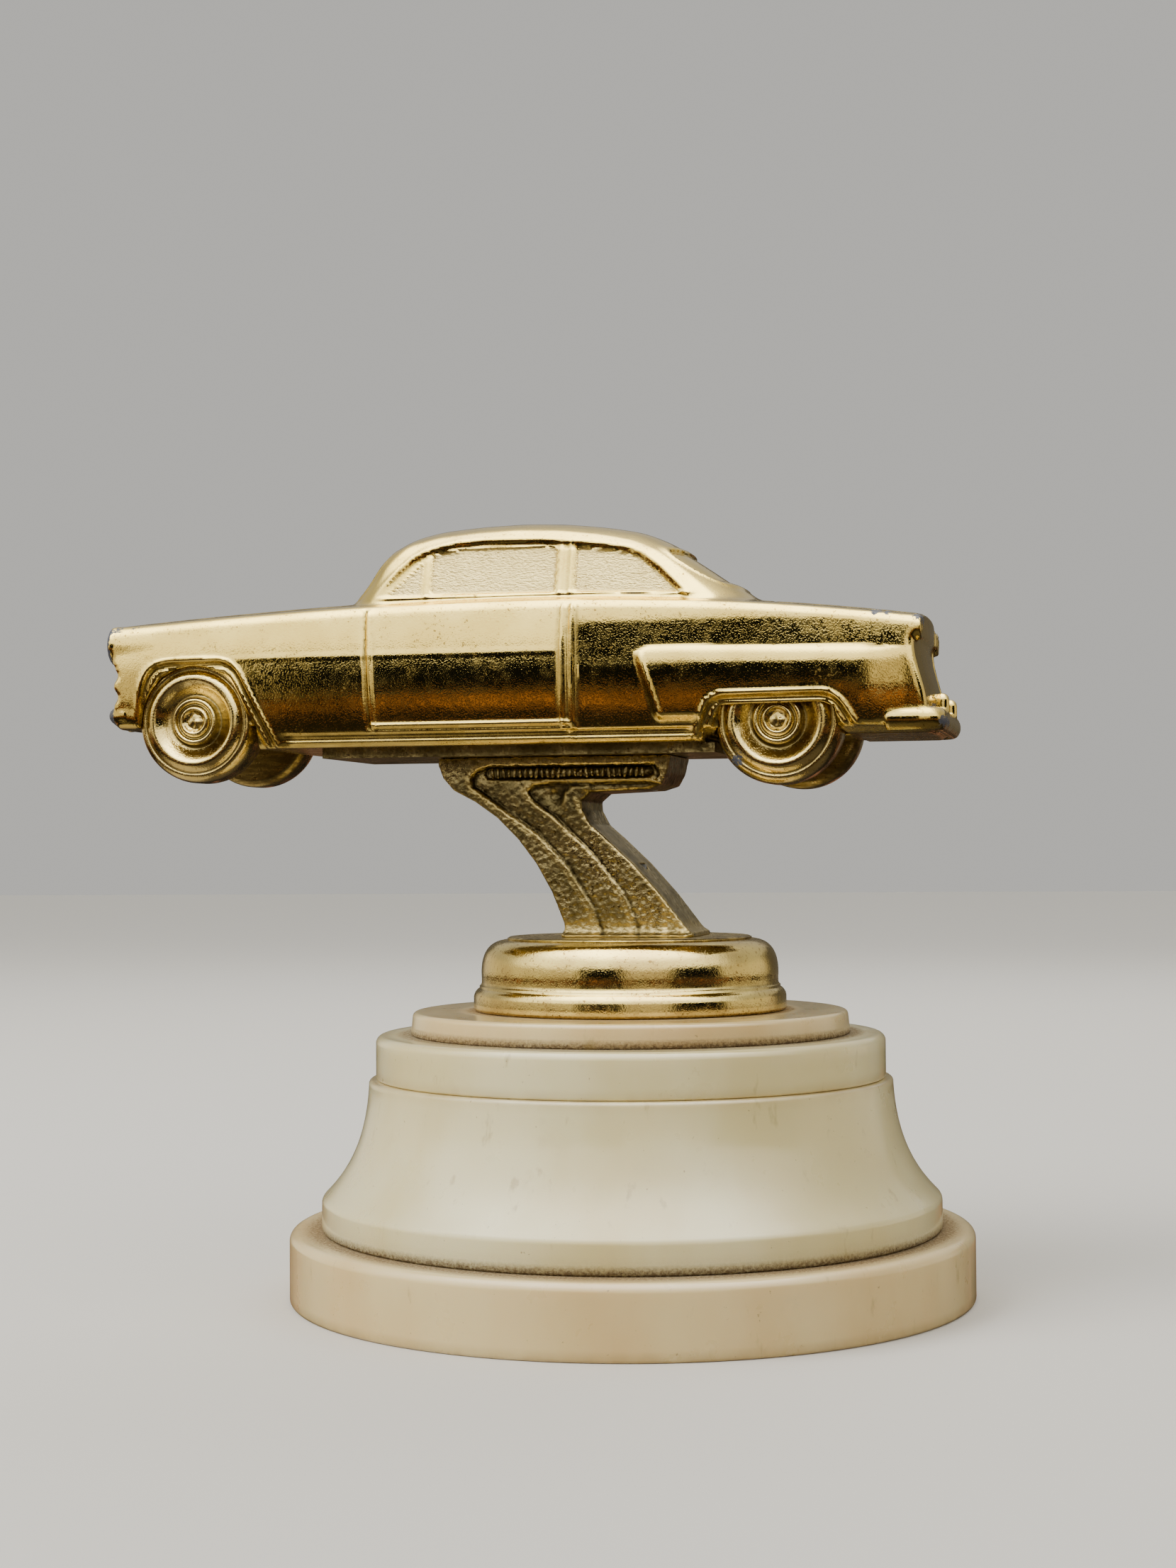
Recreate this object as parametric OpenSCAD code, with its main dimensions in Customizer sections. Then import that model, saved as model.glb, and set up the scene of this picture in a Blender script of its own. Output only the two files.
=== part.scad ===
// Car figure on a strut and a domed flange, bolted through a stepped
// moulded stand. The nose points along -X and the car's left side is -Y.
// The origin is the axis of the stand, on the face that it rests on.

/* [Stand] */
// Diameter of the foot
foot_d = 114.3; // [96:0.1:140]
// Height of the foot
foot_h = 11.5; // [10.5:0.1:15]
// Rim wall of the foot, round its underside recess
foot_rim = 8; // [5:0.5:11]
// Depth of the recess under the foot
recess_h = 8.2; // [7.8:0.1:8.6]
// Diameter of the bell at its bottom band
bell_d = 103.6; // [93:0.1:113]
// Height of the bell
bell_h = 24.7; // [20:0.1:30]
// Height of the straight band at the bottom of the bell
bell_band_h = 4.2; // [3:0.1:5.5]
// Diameter of the bell at its top
bell_top_d = 87.9; // [84:0.1:92]
// Wall of the bell
bell_wall = 3; // [2:0.1:4]
// Diameter of the collar ring
collar_d = 85.5; // [78:0.1:87.5]
// Height of the collar ring
collar_h = 7.3; // [6:0.1:9]
// Diameter of the top disc
disc_d = 73.8; // [62:0.1:77]
// Height of the top disc
disc_h = 3.8; // [3:0.1:5]

/* [Flange] */
// Diameter of the metal flange
flange_d = 52.7; // [50:0.1:60]
// Height of the metal flange
flange_h = 12.4; // [11:0.1:15]
// Height of the rounded band at its bottom
flange_band_h = 4.9; // [4:0.1:5.5]
// Wall of the flange
flange_wall = 2.4; // [1.6:0.1:3]

/* [Strut] */
// Thickness of the strut, side to side
strut_t = 17.6; // [14:0.1:21.2]
// Height of the strut, from the flange to the floor of the car
strut_h = 30.2; // [27:0.1:36]
// Depth of the flutes in its two sides
flute_depth = 1; // [0.6:0.1:1.5]

/* [Car] */
// Length of the car over its bumpers
car_len = 144.4; // [120:0.1:173]
// Distance from the nose to the axis of the stand
nose_out = 88.6; // [74:0.1:106]
// Width of the car
car_w = 41; // [39:0.1:49]
// Height of the car, from the sill to the roof
car_h = 38.1; // [36:0.1:45]
// Wall of the car's body
car_wall = 2.2; // [1.5:0.1:3]
// Distance from the nose to the front axle
front_axle_in = 17.5; // [16:0.1:20]
// Distance between the axles
wheelbase = 99.2; // [85:0.1:110]
// Height of the front axle above the floor
front_axle_up = 6.5; // [6:0.1:8]
// Height of the rear axle above the floor
rear_axle_up = 4.9; // [4:0.1:6]
// Diameter of a wheel
wheel_d = 20.8; // [17.3:0.1:22]
// Thickness of a wheel
wheel_t = 8.7; // [7.5:0.1:9.5]
// Depth of a wheel's face inside the car's side
wheel_inset = 2; // [1.6:0.1:3]
// Diameter of an axle
axle_d = 3.2; // [2.5:0.1:4]
// Thickness of the floor plate
floor_t = 1.6; // [1:0.1:2]

/* [Fastenings] */
// Diameter of the tie rod
rod_d = 6; // [5:0.1:7.2]
// Play round the tie rod in the stand
rod_play = 0.4; // [0.2:0.05:0.6]
// Width of a nut across its flats
nut_af = 10; // [9:0.1:12]
// Height of the clamping nut
nut_h = 4.2; // [3.6:0.1:4.4]
// Diameter of the clamping washer
washer_d = 26; // [20:0.1:40]
// Thickness of the clamping washer
washer_t = 1.6; // [1.2:0.1:1.8]
// Thickness of the spring washer
spring_t = 1.3; // [1:0.1:1.5]
// Play between parts that locate on each other
fit_play = 0.15; // [0.05:0.05:0.3]
// Diameter of the two screws that hold the car on the strut
screw_d = 3; // [2.5:0.1:3.5]

/* [Hidden] */
$fn = 96;
EPS = 0.01;

// colours
IVORY = "#e9dfc2";
IVORY_GREEN = "#e3dcbc";
GOLD = "#c9a24a";
DULL_GOLD = "#8f7338";
STEEL = "#8c8f92";

// heights of the stack
bell_z = foot_h;
collar_z = bell_z + bell_h;
disc_z = collar_z + collar_h;
flange_z = disc_z + disc_h;
strut_z = flange_z + flange_h;
floor_z = strut_z + strut_h;
sill_z = floor_z + floor_t;
rod_hole = rod_d + 2 * rod_play;

// locating spigots of the stand: each enters the part above it
spigot_h = 1.5;
deck_t = 3;
bell_bore = bell_d - 2 * bell_wall;
collar_spigot_d = 60;
disc_spigot_d = 40;

// edges
foot_edge_r = 1.5;
foot_chamfer = 0.5;
soft_edge = 0.5;
collar_edge_r = 1.3;

// ---------- curves ----------

function bez(p, t) = pow(1 - t, 3) * p[0] + 3 * t * pow(1 - t, 2) * p[1]
    + 3 * t * t * (1 - t) * p[2] + t * t * t * p[3];

function curve(p, n) = [for (i = [0 : n]) bez(p, i / n)];

// quarter and part arcs, centre c, radius r, from angle a to angle b
function arc(c, r, a, b, n = 5) =
    [for (i = [0 : n]) c + r * [cos(a + (b - a) * i / n), sin(a + (b - a) * i / n)]];

// ---------- stand ----------

// a disc with a rounded top edge and a relieved bottom edge
module rounded_disc(d, h, edge, bottom, taper = 0) {
    r = d / 2;
    rotate_extrude()
        polygon(concat(
            [[0, 0], [r - bottom, 0], [r, bottom]],
            arc([r - edge - taper, h - edge], edge, 0, 90),
            [[0, h]]));
}

module rod_bore(z0, z1) {
    translate([0, 0, z0 - 1]) cylinder(d = rod_hole, h = z1 - z0 + 2);
}

module foot() {
    color(IVORY)
    difference() {
        union() {
            rounded_disc(foot_d, foot_h, foot_edge_r, foot_chamfer);
            translate([0, 0, foot_h - EPS])
                cylinder(d = bell_bore - 2 * fit_play, h = spigot_h + EPS);
        }
        translate([0, 0, -1]) cylinder(d = foot_d - 2 * foot_rim, h = recess_h + 1);
        // the locating rim is hollow, so that the web stays one thickness
        translate([0, 0, foot_h])
            cylinder(d = bell_bore - 2 * fit_play - 2 * bell_wall, h = spigot_h + 1);
        rod_bore(0, foot_h);
    }
}

// the bell's outside line, from its bottom edge to its top edge
function bell_line(in = 0) = let (
        r0 = bell_d / 2, r1 = bell_top_d / 2, top = bell_h - 1,
        shoulder = 1.2)
    concat(
        [[r0 - soft_edge - in, 0], [r0 - in, soft_edge]],
        arc([r0 - shoulder - in, bell_band_h], shoulder, 0, 70, 4),
        curve([[r0 - shoulder - in, bell_band_h + 2.2],
               [r0 - 4.4 - in, bell_band_h + 5],
               [r1 + 0.4 - in, top * 0.66],
               [r1 - in, top]], 9));

module bell() {
    line = bell_line();
    inner = bell_line(bell_wall);
    color(IVORY_GREEN)
    translate([0, 0, bell_z])
    difference() {
        union() {
            rotate_extrude()
                polygon(concat([[0, 0]], line,
                    [[bell_top_d / 2 - soft_edge, bell_h], [0, bell_h]]));
            translate([0, 0, bell_h - EPS])
                cylinder(d = collar_spigot_d - 2 * fit_play, h = spigot_h + EPS);
        }
        rotate_extrude()
            polygon(concat([[0, -1], [bell_bore / 2, -1]],
                [for (i = [1 : len(inner) - 1]) [inner[i][0], min(inner[i][1], bell_h - deck_t)]],
                [[0, bell_h - deck_t]]));
        rod_bore(0, bell_h + spigot_h);
    }
}

module collar_ring() {
    color(IVORY_GREEN)
    translate([0, 0, collar_z])
    difference() {
        union() {
            rounded_disc(collar_d, collar_h, collar_edge_r, soft_edge);
            translate([0, 0, collar_h - EPS])
                cylinder(d = disc_spigot_d - 2 * fit_play, h = spigot_h + EPS);
        }
        translate([0, 0, -1])
            cylinder(d = collar_spigot_d, h = spigot_h + fit_play + 1);
        rod_bore(0, collar_h + spigot_h);
    }
}

module top_disc() {
    color(IVORY)
    translate([0, 0, disc_z])
    difference() {
        rounded_disc(disc_d, disc_h, 0.8, 0.2, 0.3);
        translate([0, 0, -1])
            cylinder(d = disc_spigot_d, h = spigot_h + fit_play + 1);
        rod_bore(0, disc_h);
    }
}

// ---------- flange ----------

groove = 1.0;

// outside line of the flange: a rounded band, a groove and a dome
function flange_line(in = 0) = let (
        r = flange_d / 2, b = flange_band_h, br = b / 2 - 0.2,
        dome_r = r - groove, dh = flange_h - b)
    concat(
        [[r - 1.2 - in, 0]],
        arc([r - br - in, b / 2], br, -50, 60, 6),
        [[dome_r - 0.3 - in, b]],
        curve([[dome_r - in, b + 0.5],
               [dome_r - in, b + dh * 0.5],
               [dome_r - 1.6 - in, b + dh * 0.78],
               [dome_r - 4.2 - in, flange_h - 0.2]], 8),
        [[dome_r - 4.6 - in, flange_h]]);

module flange() {
    inner = flange_line(flange_wall);
    color(GOLD)
    translate([0, 0, flange_z])
    difference() {
        rotate_extrude() polygon(concat([[0, 0]], flange_line(), [[0, flange_h]]));
        rotate_extrude()
            polygon(concat([[0, -1], [inner[0][0], -1]],
                [for (p = inner) [p[0], min(p[1], flange_h - flange_wall - 0.4)]],
                [[0, flange_h - flange_wall - 0.4]]));
        translate([0, 0, -1]) cylinder(d = rod_d + fit_play, h = flange_h + 2);
    }
}

// ---------- strut ----------

// The strut's side view is drawn from its foot, at z = 0, to its saddle.
// Its heights follow strut_h, and its places along X stay as they are.
arm_z = 0.8 * strut_h;          // underside of the arm
strut_front = [[-31, strut_h], [-31, strut_h - 6], [-24.5, 0.76 * strut_h],
    [-20.6, 0.663 * strut_h]];
strut_front_low = [[-20.6, 0.663 * strut_h], [-14.6, 0.51 * strut_h],
    [-11.4, 0.28 * strut_h], [-9.4, 0]];
strut_rear = [[12.4, 0], [8.2, 0.2 * strut_h], [0.6, 0.49 * strut_h],
    [-4.2, 0.6 * strut_h]];
inner_r = 3;                    // the curl under the arm
arm_end = 8.6;                  // the rear end of the saddle

function strut_side() = concat(
    curve(strut_front, 8), curve(strut_front_low, 10), curve(strut_rear, 10),
    arc([-3.4, arm_z - inner_r], inner_r, 200, 90, 6),
    [[arm_end - 1.6, arm_z]],
    arc([arm_end - 1.2, arm_z + 1.2], 1.2, -90, 0, 3),
    [[arm_end + 0.4, strut_h]]);

// one flute: a band of the side between the fractions a and b of the way
// from the strut's front line to its rear line
function mix(a, b, k) = a * (1 - k) + b * k;
function flute_point(t, k) = mix(bez(strut_front_low, t), bez(strut_rear, 1 - t), k);
function flute(a, b) = concat(
    [for (i = [0 : 8]) flute_point(0.1 + 0.86 * i / 8, a)],
    [for (i = [8 : -1 : 0]) flute_point(0.1 + 0.86 * i / 8, b)]);

// a cut in one side of the strut, as deep as the flutes
module side_cut(side, outline) {
    translate([0, side * strut_t / 2, 0])
        rotate([90, 0, 0])
            linear_extrude(2 * flute_depth, center = true) polygon(outline);
}

// the sunk panel along the arm, from its slanted front end to its rear end
panel_top = strut_h - 2.6;
panel_low = strut_h - 4.8;
ARM_PANEL = [[-22, strut_h - 5.6], [-20, panel_top], [5, panel_top], [5, panel_low],
    [-15, panel_low]];

rod_up = 12;                    // how far the tie rod enters the strut
screw_x = [-22, 2];
screw_seat_z = arm_z + 2.2;     // what the screw heads bear on
screw_sink = [9, 4];            // how far below it each head's hole is open

module strut() {
    color(DULL_GOLD)
    translate([0, 0, strut_z])
    difference() {
        rotate([90, 0, 0]) linear_extrude(strut_t, center = true) polygon(strut_side());
        for (side = [-1, 1]) {
            side_cut(side, flute(0.28, 0.5));
            side_cut(side, flute(0.58, 0.86));
            side_cut(side, ARM_PANEL);
        }
        translate([0, 0, -1]) cylinder(d = rod_d, h = rod_up + 1);
        // the screws pass up through the arm, their heads sunk from below
        for (k = [0, 1])
            translate([screw_x[k], 0, screw_seat_z - screw_sink[k]]) {
                cylinder(d = screw_d + 2 * fit_play, h = strut_h);
                cylinder(d = 2 * screw_d + 1, h = screw_sink[k]);
            }
    }
}

// ---------- car ----------

nose_x = -nose_out;
kx = car_len / 144.4;
ky = car_w / 41;
kz = car_h / 38.1;
front_axle_x = nose_x + front_axle_in;
rear_axle_x = front_axle_x + wheelbase;
front_axle_z = floor_z + front_axle_up;
rear_axle_z = floor_z + rear_axle_up;
wheel_face_y = car_w / 2 - wheel_inset;
wheel_back_y = wheel_face_y - wheel_t;
wheel_r = wheel_d / 2;
arch_play = 1.2;
well_play = 0.4;
skirt_t = 1.2;

// Side view of the car: heights over the sill against the distance from
// the nose. Each table has only the points at which its line bends.
LOW_LINE = [[0, 6.2], [1.5, 4.6], [6, 3.7], [30, 3.7], [34, 1.4], [41, 0],
    [132, 0.2], [143, 0.8], [144.4, 1.6]];
CREASE = [[0, 15], [1.2, 20], [5, 20.5], [16, 21.3], [30, 22], [46, 22.9],
    [68, 23.3], [82, 23.4], [106, 21.8], [128, 20.2], [140, 18.9], [141.4, 16],
    [142.6, 8], [144.4, 4.4]];
CROWN = [[0, 15.4], [0.8, 21.6], [5, 22.8], [16, 23.3], [30, 24.1], [42, 24.5],
    [44.4, 27], [47, 30.8], [50, 34.2], [54, 36.7], [60, 37.8], [70, 38.1],
    [80, 37.7], [88, 37], [95, 35.2], [99.5, 32.4], [104, 28.6], [108, 25.9],
    [112, 24.4], [122, 22.7], [139, 20.3], [141, 17], [142.6, 8.6], [144.4, 5]];
RAIL = [[0, 15.2], [1, 21], [5, 21.8], [16, 22.6], [30, 23.3], [45, 24],
    [49, 25.4], [52.5, 29.4], [56, 32.6], [61, 34.3], [68, 34.5], [78, 34.3],
    [88, 33.3], [93.5, 32.2], [97.5, 29], [101.5, 25], [106, 23.6], [122, 21.8],
    [139, 19.6], [141, 16.6], [142.6, 8.4], [144.4, 4.8]];
HALF_WIDTH = [[0, 15.5], [1.2, 17.4], [4, 19], [9, 20], [20, 20.5], [110, 20.5],
    [128, 19.8], [138, 18.8], [141, 18], [144.4, 16.4]];

function at(table, s) = lookup(s / kx, table);
function low(s) = at(LOW_LINE, s) * kz;
function crease(s) = max(at(CREASE, s) * kz, low(s) + 2);
function rail(s) = max(at(RAIL, s) * kz, crease(s) + 0.2);
function crown(s) = max(at(CROWN, s) * kz, rail(s) + 0.2);
function half_w(s) = at(HALF_WIDTH, s) * ky;

// half of a cross-section, from the bottom centre up the side to the roof
glass_in = 4.6;                 // the windows stand this far inside the side
rail_in = 2.4;                  // and lean in this much more at the rail
cavity_drop = 6;                // the hollow is open below by this much
function half_section(s, in) = let (
        w = half_w(s) - in, lo = low(s) - (in > 0 ? cavity_drop : 0), cr = crease(s) - in * 0.6,
        ra = rail(s) - in, top = crown(s) - in,
        rise = rail(s) - crease(s),
        shut = min(1, max(0, (rise - 0.6) / 2)),
        sill_y = w - mix(2.6, glass_in, shut) * ky,
        rail_y = w - mix(6, glass_in + rail_in, shut) * ky,
        side_h = cr - lo)
    [[0, lo], [w - 2.4, lo], [w - 0.9, lo + 0.5 * kz], [w - 0.4, lo + side_h * 0.16],
     [w, lo + side_h * 0.45], [w - 0.1, lo + side_h * 0.7],
     [w - 0.5, lo + side_h * 0.9], [w - 1.4, cr],
     [sill_y, cr + min(0.9 * kz, (ra - cr) * 0.5)],
     [mix(sill_y, rail_y, 0.5), mix(cr + min(0.9 * kz, (ra - cr) * 0.5), ra, 0.55)],
     [rail_y, ra], [rail_y * 0.86, mix(ra, top, 0.45)],
     [rail_y * 0.5, mix(ra, top, 0.85)], [0, top]];

// the whole section: the half on +Y, then its mirror image
function section(s, in) = let (h = half_section(s, in), n = len(h))
    concat(h, [for (i = [n - 2 : -1 : 1]) [-h[i][0], h[i][1]]]);

// a closed skin through the sections at the places in the list
module loft(places, in) {
    rings = [for (s = places) [for (p = section(s, in)) [nose_x + s, p[0], sill_z + p[1]]]];
    m = len(rings[0]);
    n = len(rings);
    middle = [for (r = [rings[0], rings[n - 1]]) [r[0][0], 0, (r[0][2] + r[len(r) / 2][2]) / 2]];
    points = concat([for (r = rings) each r], middle);
    sides = [for (i = [0 : n - 2]) for (j = [0 : m - 1]) let (k = (j + 1) % m)
        each [[i * m + j, (i + 1) * m + k, i * m + k],
              [i * m + j, (i + 1) * m + j, (i + 1) * m + k]]];
    first = [for (j = [0 : m - 1]) [n * m, j, (j + 1) % m]];
    last = [for (j = [0 : m - 1]) [n * m + 1, (n - 1) * m + (j + 1) % m, (n - 1) * m + j]];
    polyhedron(points, concat(sides, first, last));
}

SKIN = [0, 0.6, 1.6, 4, 9, 16, 23, 30, 37, 43, 46, 49, 52, 56, 61, 70, 80, 88,
    94, 98, 102, 107, 114, 122, 130, 137, 140, 142, 144.4];
CAVITY = [41, 46, 50, 54, 60, 70, 80, 88, 93];

module wheel_well(x, z, side) {
    r = wheel_r + well_play;
    translate([x, side * wheel_back_y, z])
        rotate([-side * 90, 0, 0])
            cylinder(r = r, h = wheel_t + 0.2);
}

module front_arch(side) {
    translate([front_axle_x, side * wheel_back_y, front_axle_z])
        rotate([-side * 90, 0, 0])
            cylinder(r = wheel_r + arch_play, h = car_w);
}

// the rear opening is low and flat-topped, as the fender covers the wheel
module rear_arch(side) {
    top = 4.3;
    translate([rear_axle_x, side * (wheel_back_y + car_w / 2), rear_axle_z])
        rotate([90, 0, 0])
            linear_extrude(car_w, center = true)
                polygon([[-wheel_r - 2, -wheel_r], [-wheel_r - 0.6, 2], [-wheel_r + 3, top],
                         [wheel_r - 2, top], [wheel_r + 1, 2.4], [wheel_r + 4, -wheel_r]]);
}

module axle_bore(x, z) {
    translate([x, 0, z]) rotate([90, 0, 0])
        cylinder(d = axle_d, h = car_w, center = true);
}

floor_front = 39;               // from the nose to the floor plate
floor_end = rear_axle_x - wheel_r - well_play;  // the plate stops ahead of the rear wheels
floor_w = 28;
floor_ledge = 1.6;              // the plate's bearing on the sill, all along

module floor_plan(grow = 0) {
    translate([nose_x + floor_front * kx - grow, -floor_w / 2 * ky - grow])
        square([floor_end - nose_x - floor_front * kx + 2 * grow, floor_w * ky + 2 * grow]);
}

module car_body() {
    color(GOLD)
    difference() {
        loft([for (s = SKIN) s * kx], 0);
        // the hollow under the roof, inside the ledge that the floor plate closes
        intersection() {
            loft([for (s = CAVITY) s * kx], car_wall);
            translate([nose_x, -floor_w / 2 * ky + floor_ledge, floor_z - 20])
                cube([car_len, floor_w * ky - 2 * floor_ledge, 20 + floor_t + car_h]);
        }
        for (side = [-1, 1]) {
            front_arch(side);
            wheel_well(rear_axle_x, rear_axle_z, side);
            intersection() {
                rear_arch(side);
                translate([rear_axle_x - car_w, side > 0 ? wheel_back_y : -car_w, sill_z - 20])
                    cube([2 * car_w, car_w - wheel_back_y, 60]);
            }
        }
        axle_bore(front_axle_x, front_axle_z);
        axle_bore(rear_axle_x, rear_axle_z);
    }
}

module floor_plate() {
    color(DULL_GOLD)
    difference() {
        translate([0, 0, floor_z]) linear_extrude(floor_t) floor_plan();
        for (x = screw_x)
            translate([x, 0, floor_z - 1]) cylinder(d = screw_d, h = floor_t + 2);
    }
}

// one wheel: tyre, disc and hub in one casting, its face at z = 0
module wheel_shape() {
    r = wheel_r;
    rotate_extrude()
        polygon(concat(
            [[axle_d / 2, -wheel_t], [r - 1.6, -wheel_t], [r - 0.3, -wheel_t + 1.2],
             [r, -wheel_t + 3.6]],
            curve([[r, -2.6], [r - 0.3, -1.2], [r - 1.2, -0.2], [r - 2.2, 0]], 5),
            [[r - 3.6, -0.3], [r - 4.1, -1.2], [r - 4.6, -1.2],
             [4.2, -0.8], [3.9, -0.3], [3.3, -0.3], [3.1, -0.9], [2.5, -0.7],
             [axle_d / 2 + 0.2, -0.4], [axle_d / 2, -0.6]]));
}

module wheel(x, z, side) {
    color(GOLD)
    translate([x, side * wheel_face_y, z]) rotate([-side * 90, 0, 0]) wheel_shape();
}

module front_left_wheel() { wheel(front_axle_x, front_axle_z, -1); }
module front_right_wheel() { wheel(front_axle_x, front_axle_z, 1); }
module rear_left_wheel() { wheel(rear_axle_x, rear_axle_z, -1); }
module rear_right_wheel() { wheel(rear_axle_x, rear_axle_z, 1); }

peen_in = 0.8;                  // the peened ends stop this far inside the faces

module axle(x, z) {
    color(STEEL)
    translate([x, 0, z]) rotate([90, 0, 0])
        cylinder(d = axle_d, h = 2 * (wheel_face_y - peen_in), center = true);
}

module front_axle() { axle(front_axle_x, front_axle_z); }
module rear_axle() { axle(rear_axle_x, rear_axle_z); }

// ---------- fastenings ----------

module saddle_screws() {
    head_h = 2;
    z = strut_z + screw_seat_z;
    color(STEEL)
    for (x = screw_x)
        translate([x, 0, z - head_h]) {
            cylinder(d = 2 * screw_d, h = head_h);
            cylinder(d = screw_d, h = floor_z + floor_t - z + head_h);
        }
}

rod_bottom = 0.7;

module tie_rod() {
    color(STEEL)
    translate([0, 0, rod_bottom]) cylinder(d = rod_d, h = strut_z + rod_up - rod_bottom);
}

module nut(h) {
    difference() {
        cylinder(d = nut_af / cos(30), h = h, $fn = 6);
        translate([0, 0, -1]) cylinder(d = rod_d, h = h + 2);
    }
}

module flange_nut() {
    h = 5;
    color(STEEL)
    translate([0, 0, flange_z + flange_h - flange_wall - 0.4 - h]) nut(h);
}

module clamp_washer() {
    color(STEEL)
    translate([0, 0, recess_h - washer_t])
    difference() {
        cylinder(d = washer_d, h = washer_t);
        translate([0, 0, -1]) cylinder(d = rod_hole, h = washer_t + 2);
    }
}

module spring_washer() {
    ring = 2;
    color(STEEL)
    translate([0, 0, recess_h - washer_t - spring_t])
    difference() {
        cylinder(d = rod_d + 2 * fit_play + 2 * ring, h = spring_t);
        translate([0, 0, -1]) cylinder(d = rod_d + 2 * fit_play, h = spring_t + 2);
        // the split
        translate([0, -0.4, -1]) cube([rod_d, 0.8, spring_t + 2]);
    }
}

module clamp_nut() {
    color(STEEL)
    translate([0, 0, recess_h - washer_t - spring_t - nut_h]) nut(nut_h);
}

foot();
bell();
collar_ring();
top_disc();
flange();
strut();
floor_plate();
car_body();
front_left_wheel();
front_right_wheel();
rear_left_wheel();
rear_right_wheel();
front_axle();
rear_axle();
saddle_screws();
tie_rod();
flange_nut();
clamp_washer();
spring_washer();
clamp_nut();
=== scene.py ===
import math

import bpy
import numpy as np
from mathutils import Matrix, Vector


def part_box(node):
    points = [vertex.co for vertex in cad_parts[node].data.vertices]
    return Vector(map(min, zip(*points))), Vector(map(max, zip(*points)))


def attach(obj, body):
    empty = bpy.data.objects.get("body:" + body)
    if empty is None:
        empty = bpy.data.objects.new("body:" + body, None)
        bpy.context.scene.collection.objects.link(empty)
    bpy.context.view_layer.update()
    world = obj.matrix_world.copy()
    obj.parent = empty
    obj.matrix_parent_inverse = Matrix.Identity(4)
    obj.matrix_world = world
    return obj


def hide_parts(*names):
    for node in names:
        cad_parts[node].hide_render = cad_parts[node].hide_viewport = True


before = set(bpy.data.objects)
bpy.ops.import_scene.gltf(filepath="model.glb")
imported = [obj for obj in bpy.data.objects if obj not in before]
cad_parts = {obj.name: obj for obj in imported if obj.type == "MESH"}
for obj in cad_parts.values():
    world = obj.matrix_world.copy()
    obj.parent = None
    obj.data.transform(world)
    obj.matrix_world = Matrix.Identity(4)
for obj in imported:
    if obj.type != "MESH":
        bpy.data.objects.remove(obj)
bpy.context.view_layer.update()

import openvdb
from mathutils import Matrix, Vector

# All lengths in this script are millimetres; a mesh is scaled to metres when it is made.
MM = 0.001
TURNS = 256              # steps round a piece of the stand
WHEEL_TURNS = 144        # steps round a wheel
AXLE_TURNS = 40          # steps round an axle


# ---------------------------------------------------------------- numbers from the frame

def node_box(name):
    """The lowest and highest corners of a CAD node, in millimetres."""
    low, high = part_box(name)
    return np.array(low) / MM, np.array(high) / MM


foot_r = node_box("foot")[1][0]
bell_low, bell_high = node_box("bell")
collar_low, collar_high = node_box("collar_ring")
disc_low, disc_high = node_box("top_disc")
flange_low, flange_high = node_box("flange")
strut_low, strut_high = node_box("strut")
body_low, body_high = node_box("car_body")
rod_low, rod_high = node_box("tie_rod")
wheel_low, wheel_high = node_box("front_left_wheel")

foot_top = bell_low[2]
bell_top = collar_low[2]
collar_top = disc_low[2]
disc_top = flange_low[2]
flange_top = flange_high[2]
sill_z = node_box("floor_plate")[1][2]
rod_r = rod_high[0]
rod_top = rod_high[2]
hole_r = rod_r + 0.4         # holes of the stand, with play round the rod
bore_r = rod_r + 0.08        # bores of the flange and the strut, a close fit


# ---------------------------------------------------------------- small maths

def smooth_max(a, b, k):
    """The larger of two fields, with the corner between them rounded over k."""
    h = np.clip(0.5 + 0.5 * (a - b) / k, 0.0, 1.0)
    return b + (a - b) * h + k * h * (1.0 - h)


def smooth_min(a, b, k):
    """The smaller of two fields, with the corner between them filled over k."""
    return -smooth_max(-a, -b, k)


def step(edge0, edge1, v):
    """0 below edge0, 1 above edge1, and a smooth climb between."""
    t = np.clip((v - edge0) / (edge1 - edge0), 0.0, 1.0)
    return t * t * (3.0 - 2.0 * t)


def between(v, a, b, c, d):
    """0 below a, 1 from b to c, and 0 above d, with smooth climbs."""
    return step(a, b, v) * (1.0 - step(c, d, v))


def ridge(d, half, height=1.0):
    """A rounded bead whose middle is where d is 0."""
    return height * np.exp(-(d / half) ** 2)


def soft_line(points, blur):
    """A smooth function through a few points: straight lines blurred over a length."""
    pts = np.array(points, float)
    fine = 0.25
    xs = np.arange(pts[0, 0] - 4 * blur, pts[-1, 0] + 4 * blur, fine)
    ys = np.interp(xs, pts[:, 0], pts[:, 1])
    reach = int(3 * blur / fine)
    kernel = np.exp(-0.5 * (np.arange(-reach, reach + 1) * fine / blur) ** 2)
    kernel /= kernel.sum()
    ys = np.convolve(np.pad(ys, reach, mode="edge"), kernel, mode="valid")
    return lambda v: np.interp(v, xs, ys)


def rounded(outline, reach, closed=True, steps=3):
    """The outline with each corner turned into a short curve that starts a reach before it."""
    pts = np.array(outline, float)
    out = []
    for i, p in enumerate(pts):
        if not closed and i in (0, len(pts) - 1):
            out.append(tuple(p))
            continue
        before = pts[i - 1] - p
        after = pts[(i + 1) % len(pts)] - p
        start = p + before * min(0.5, reach / np.linalg.norm(before))
        end = p + after * min(0.5, reach / np.linalg.norm(after))
        for t in np.linspace(0.0, 1.0, steps + 1):
            out.append(tuple((1 - t) ** 2 * start + 2 * t * (1 - t) * p + t * t * end))
    return out


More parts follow.
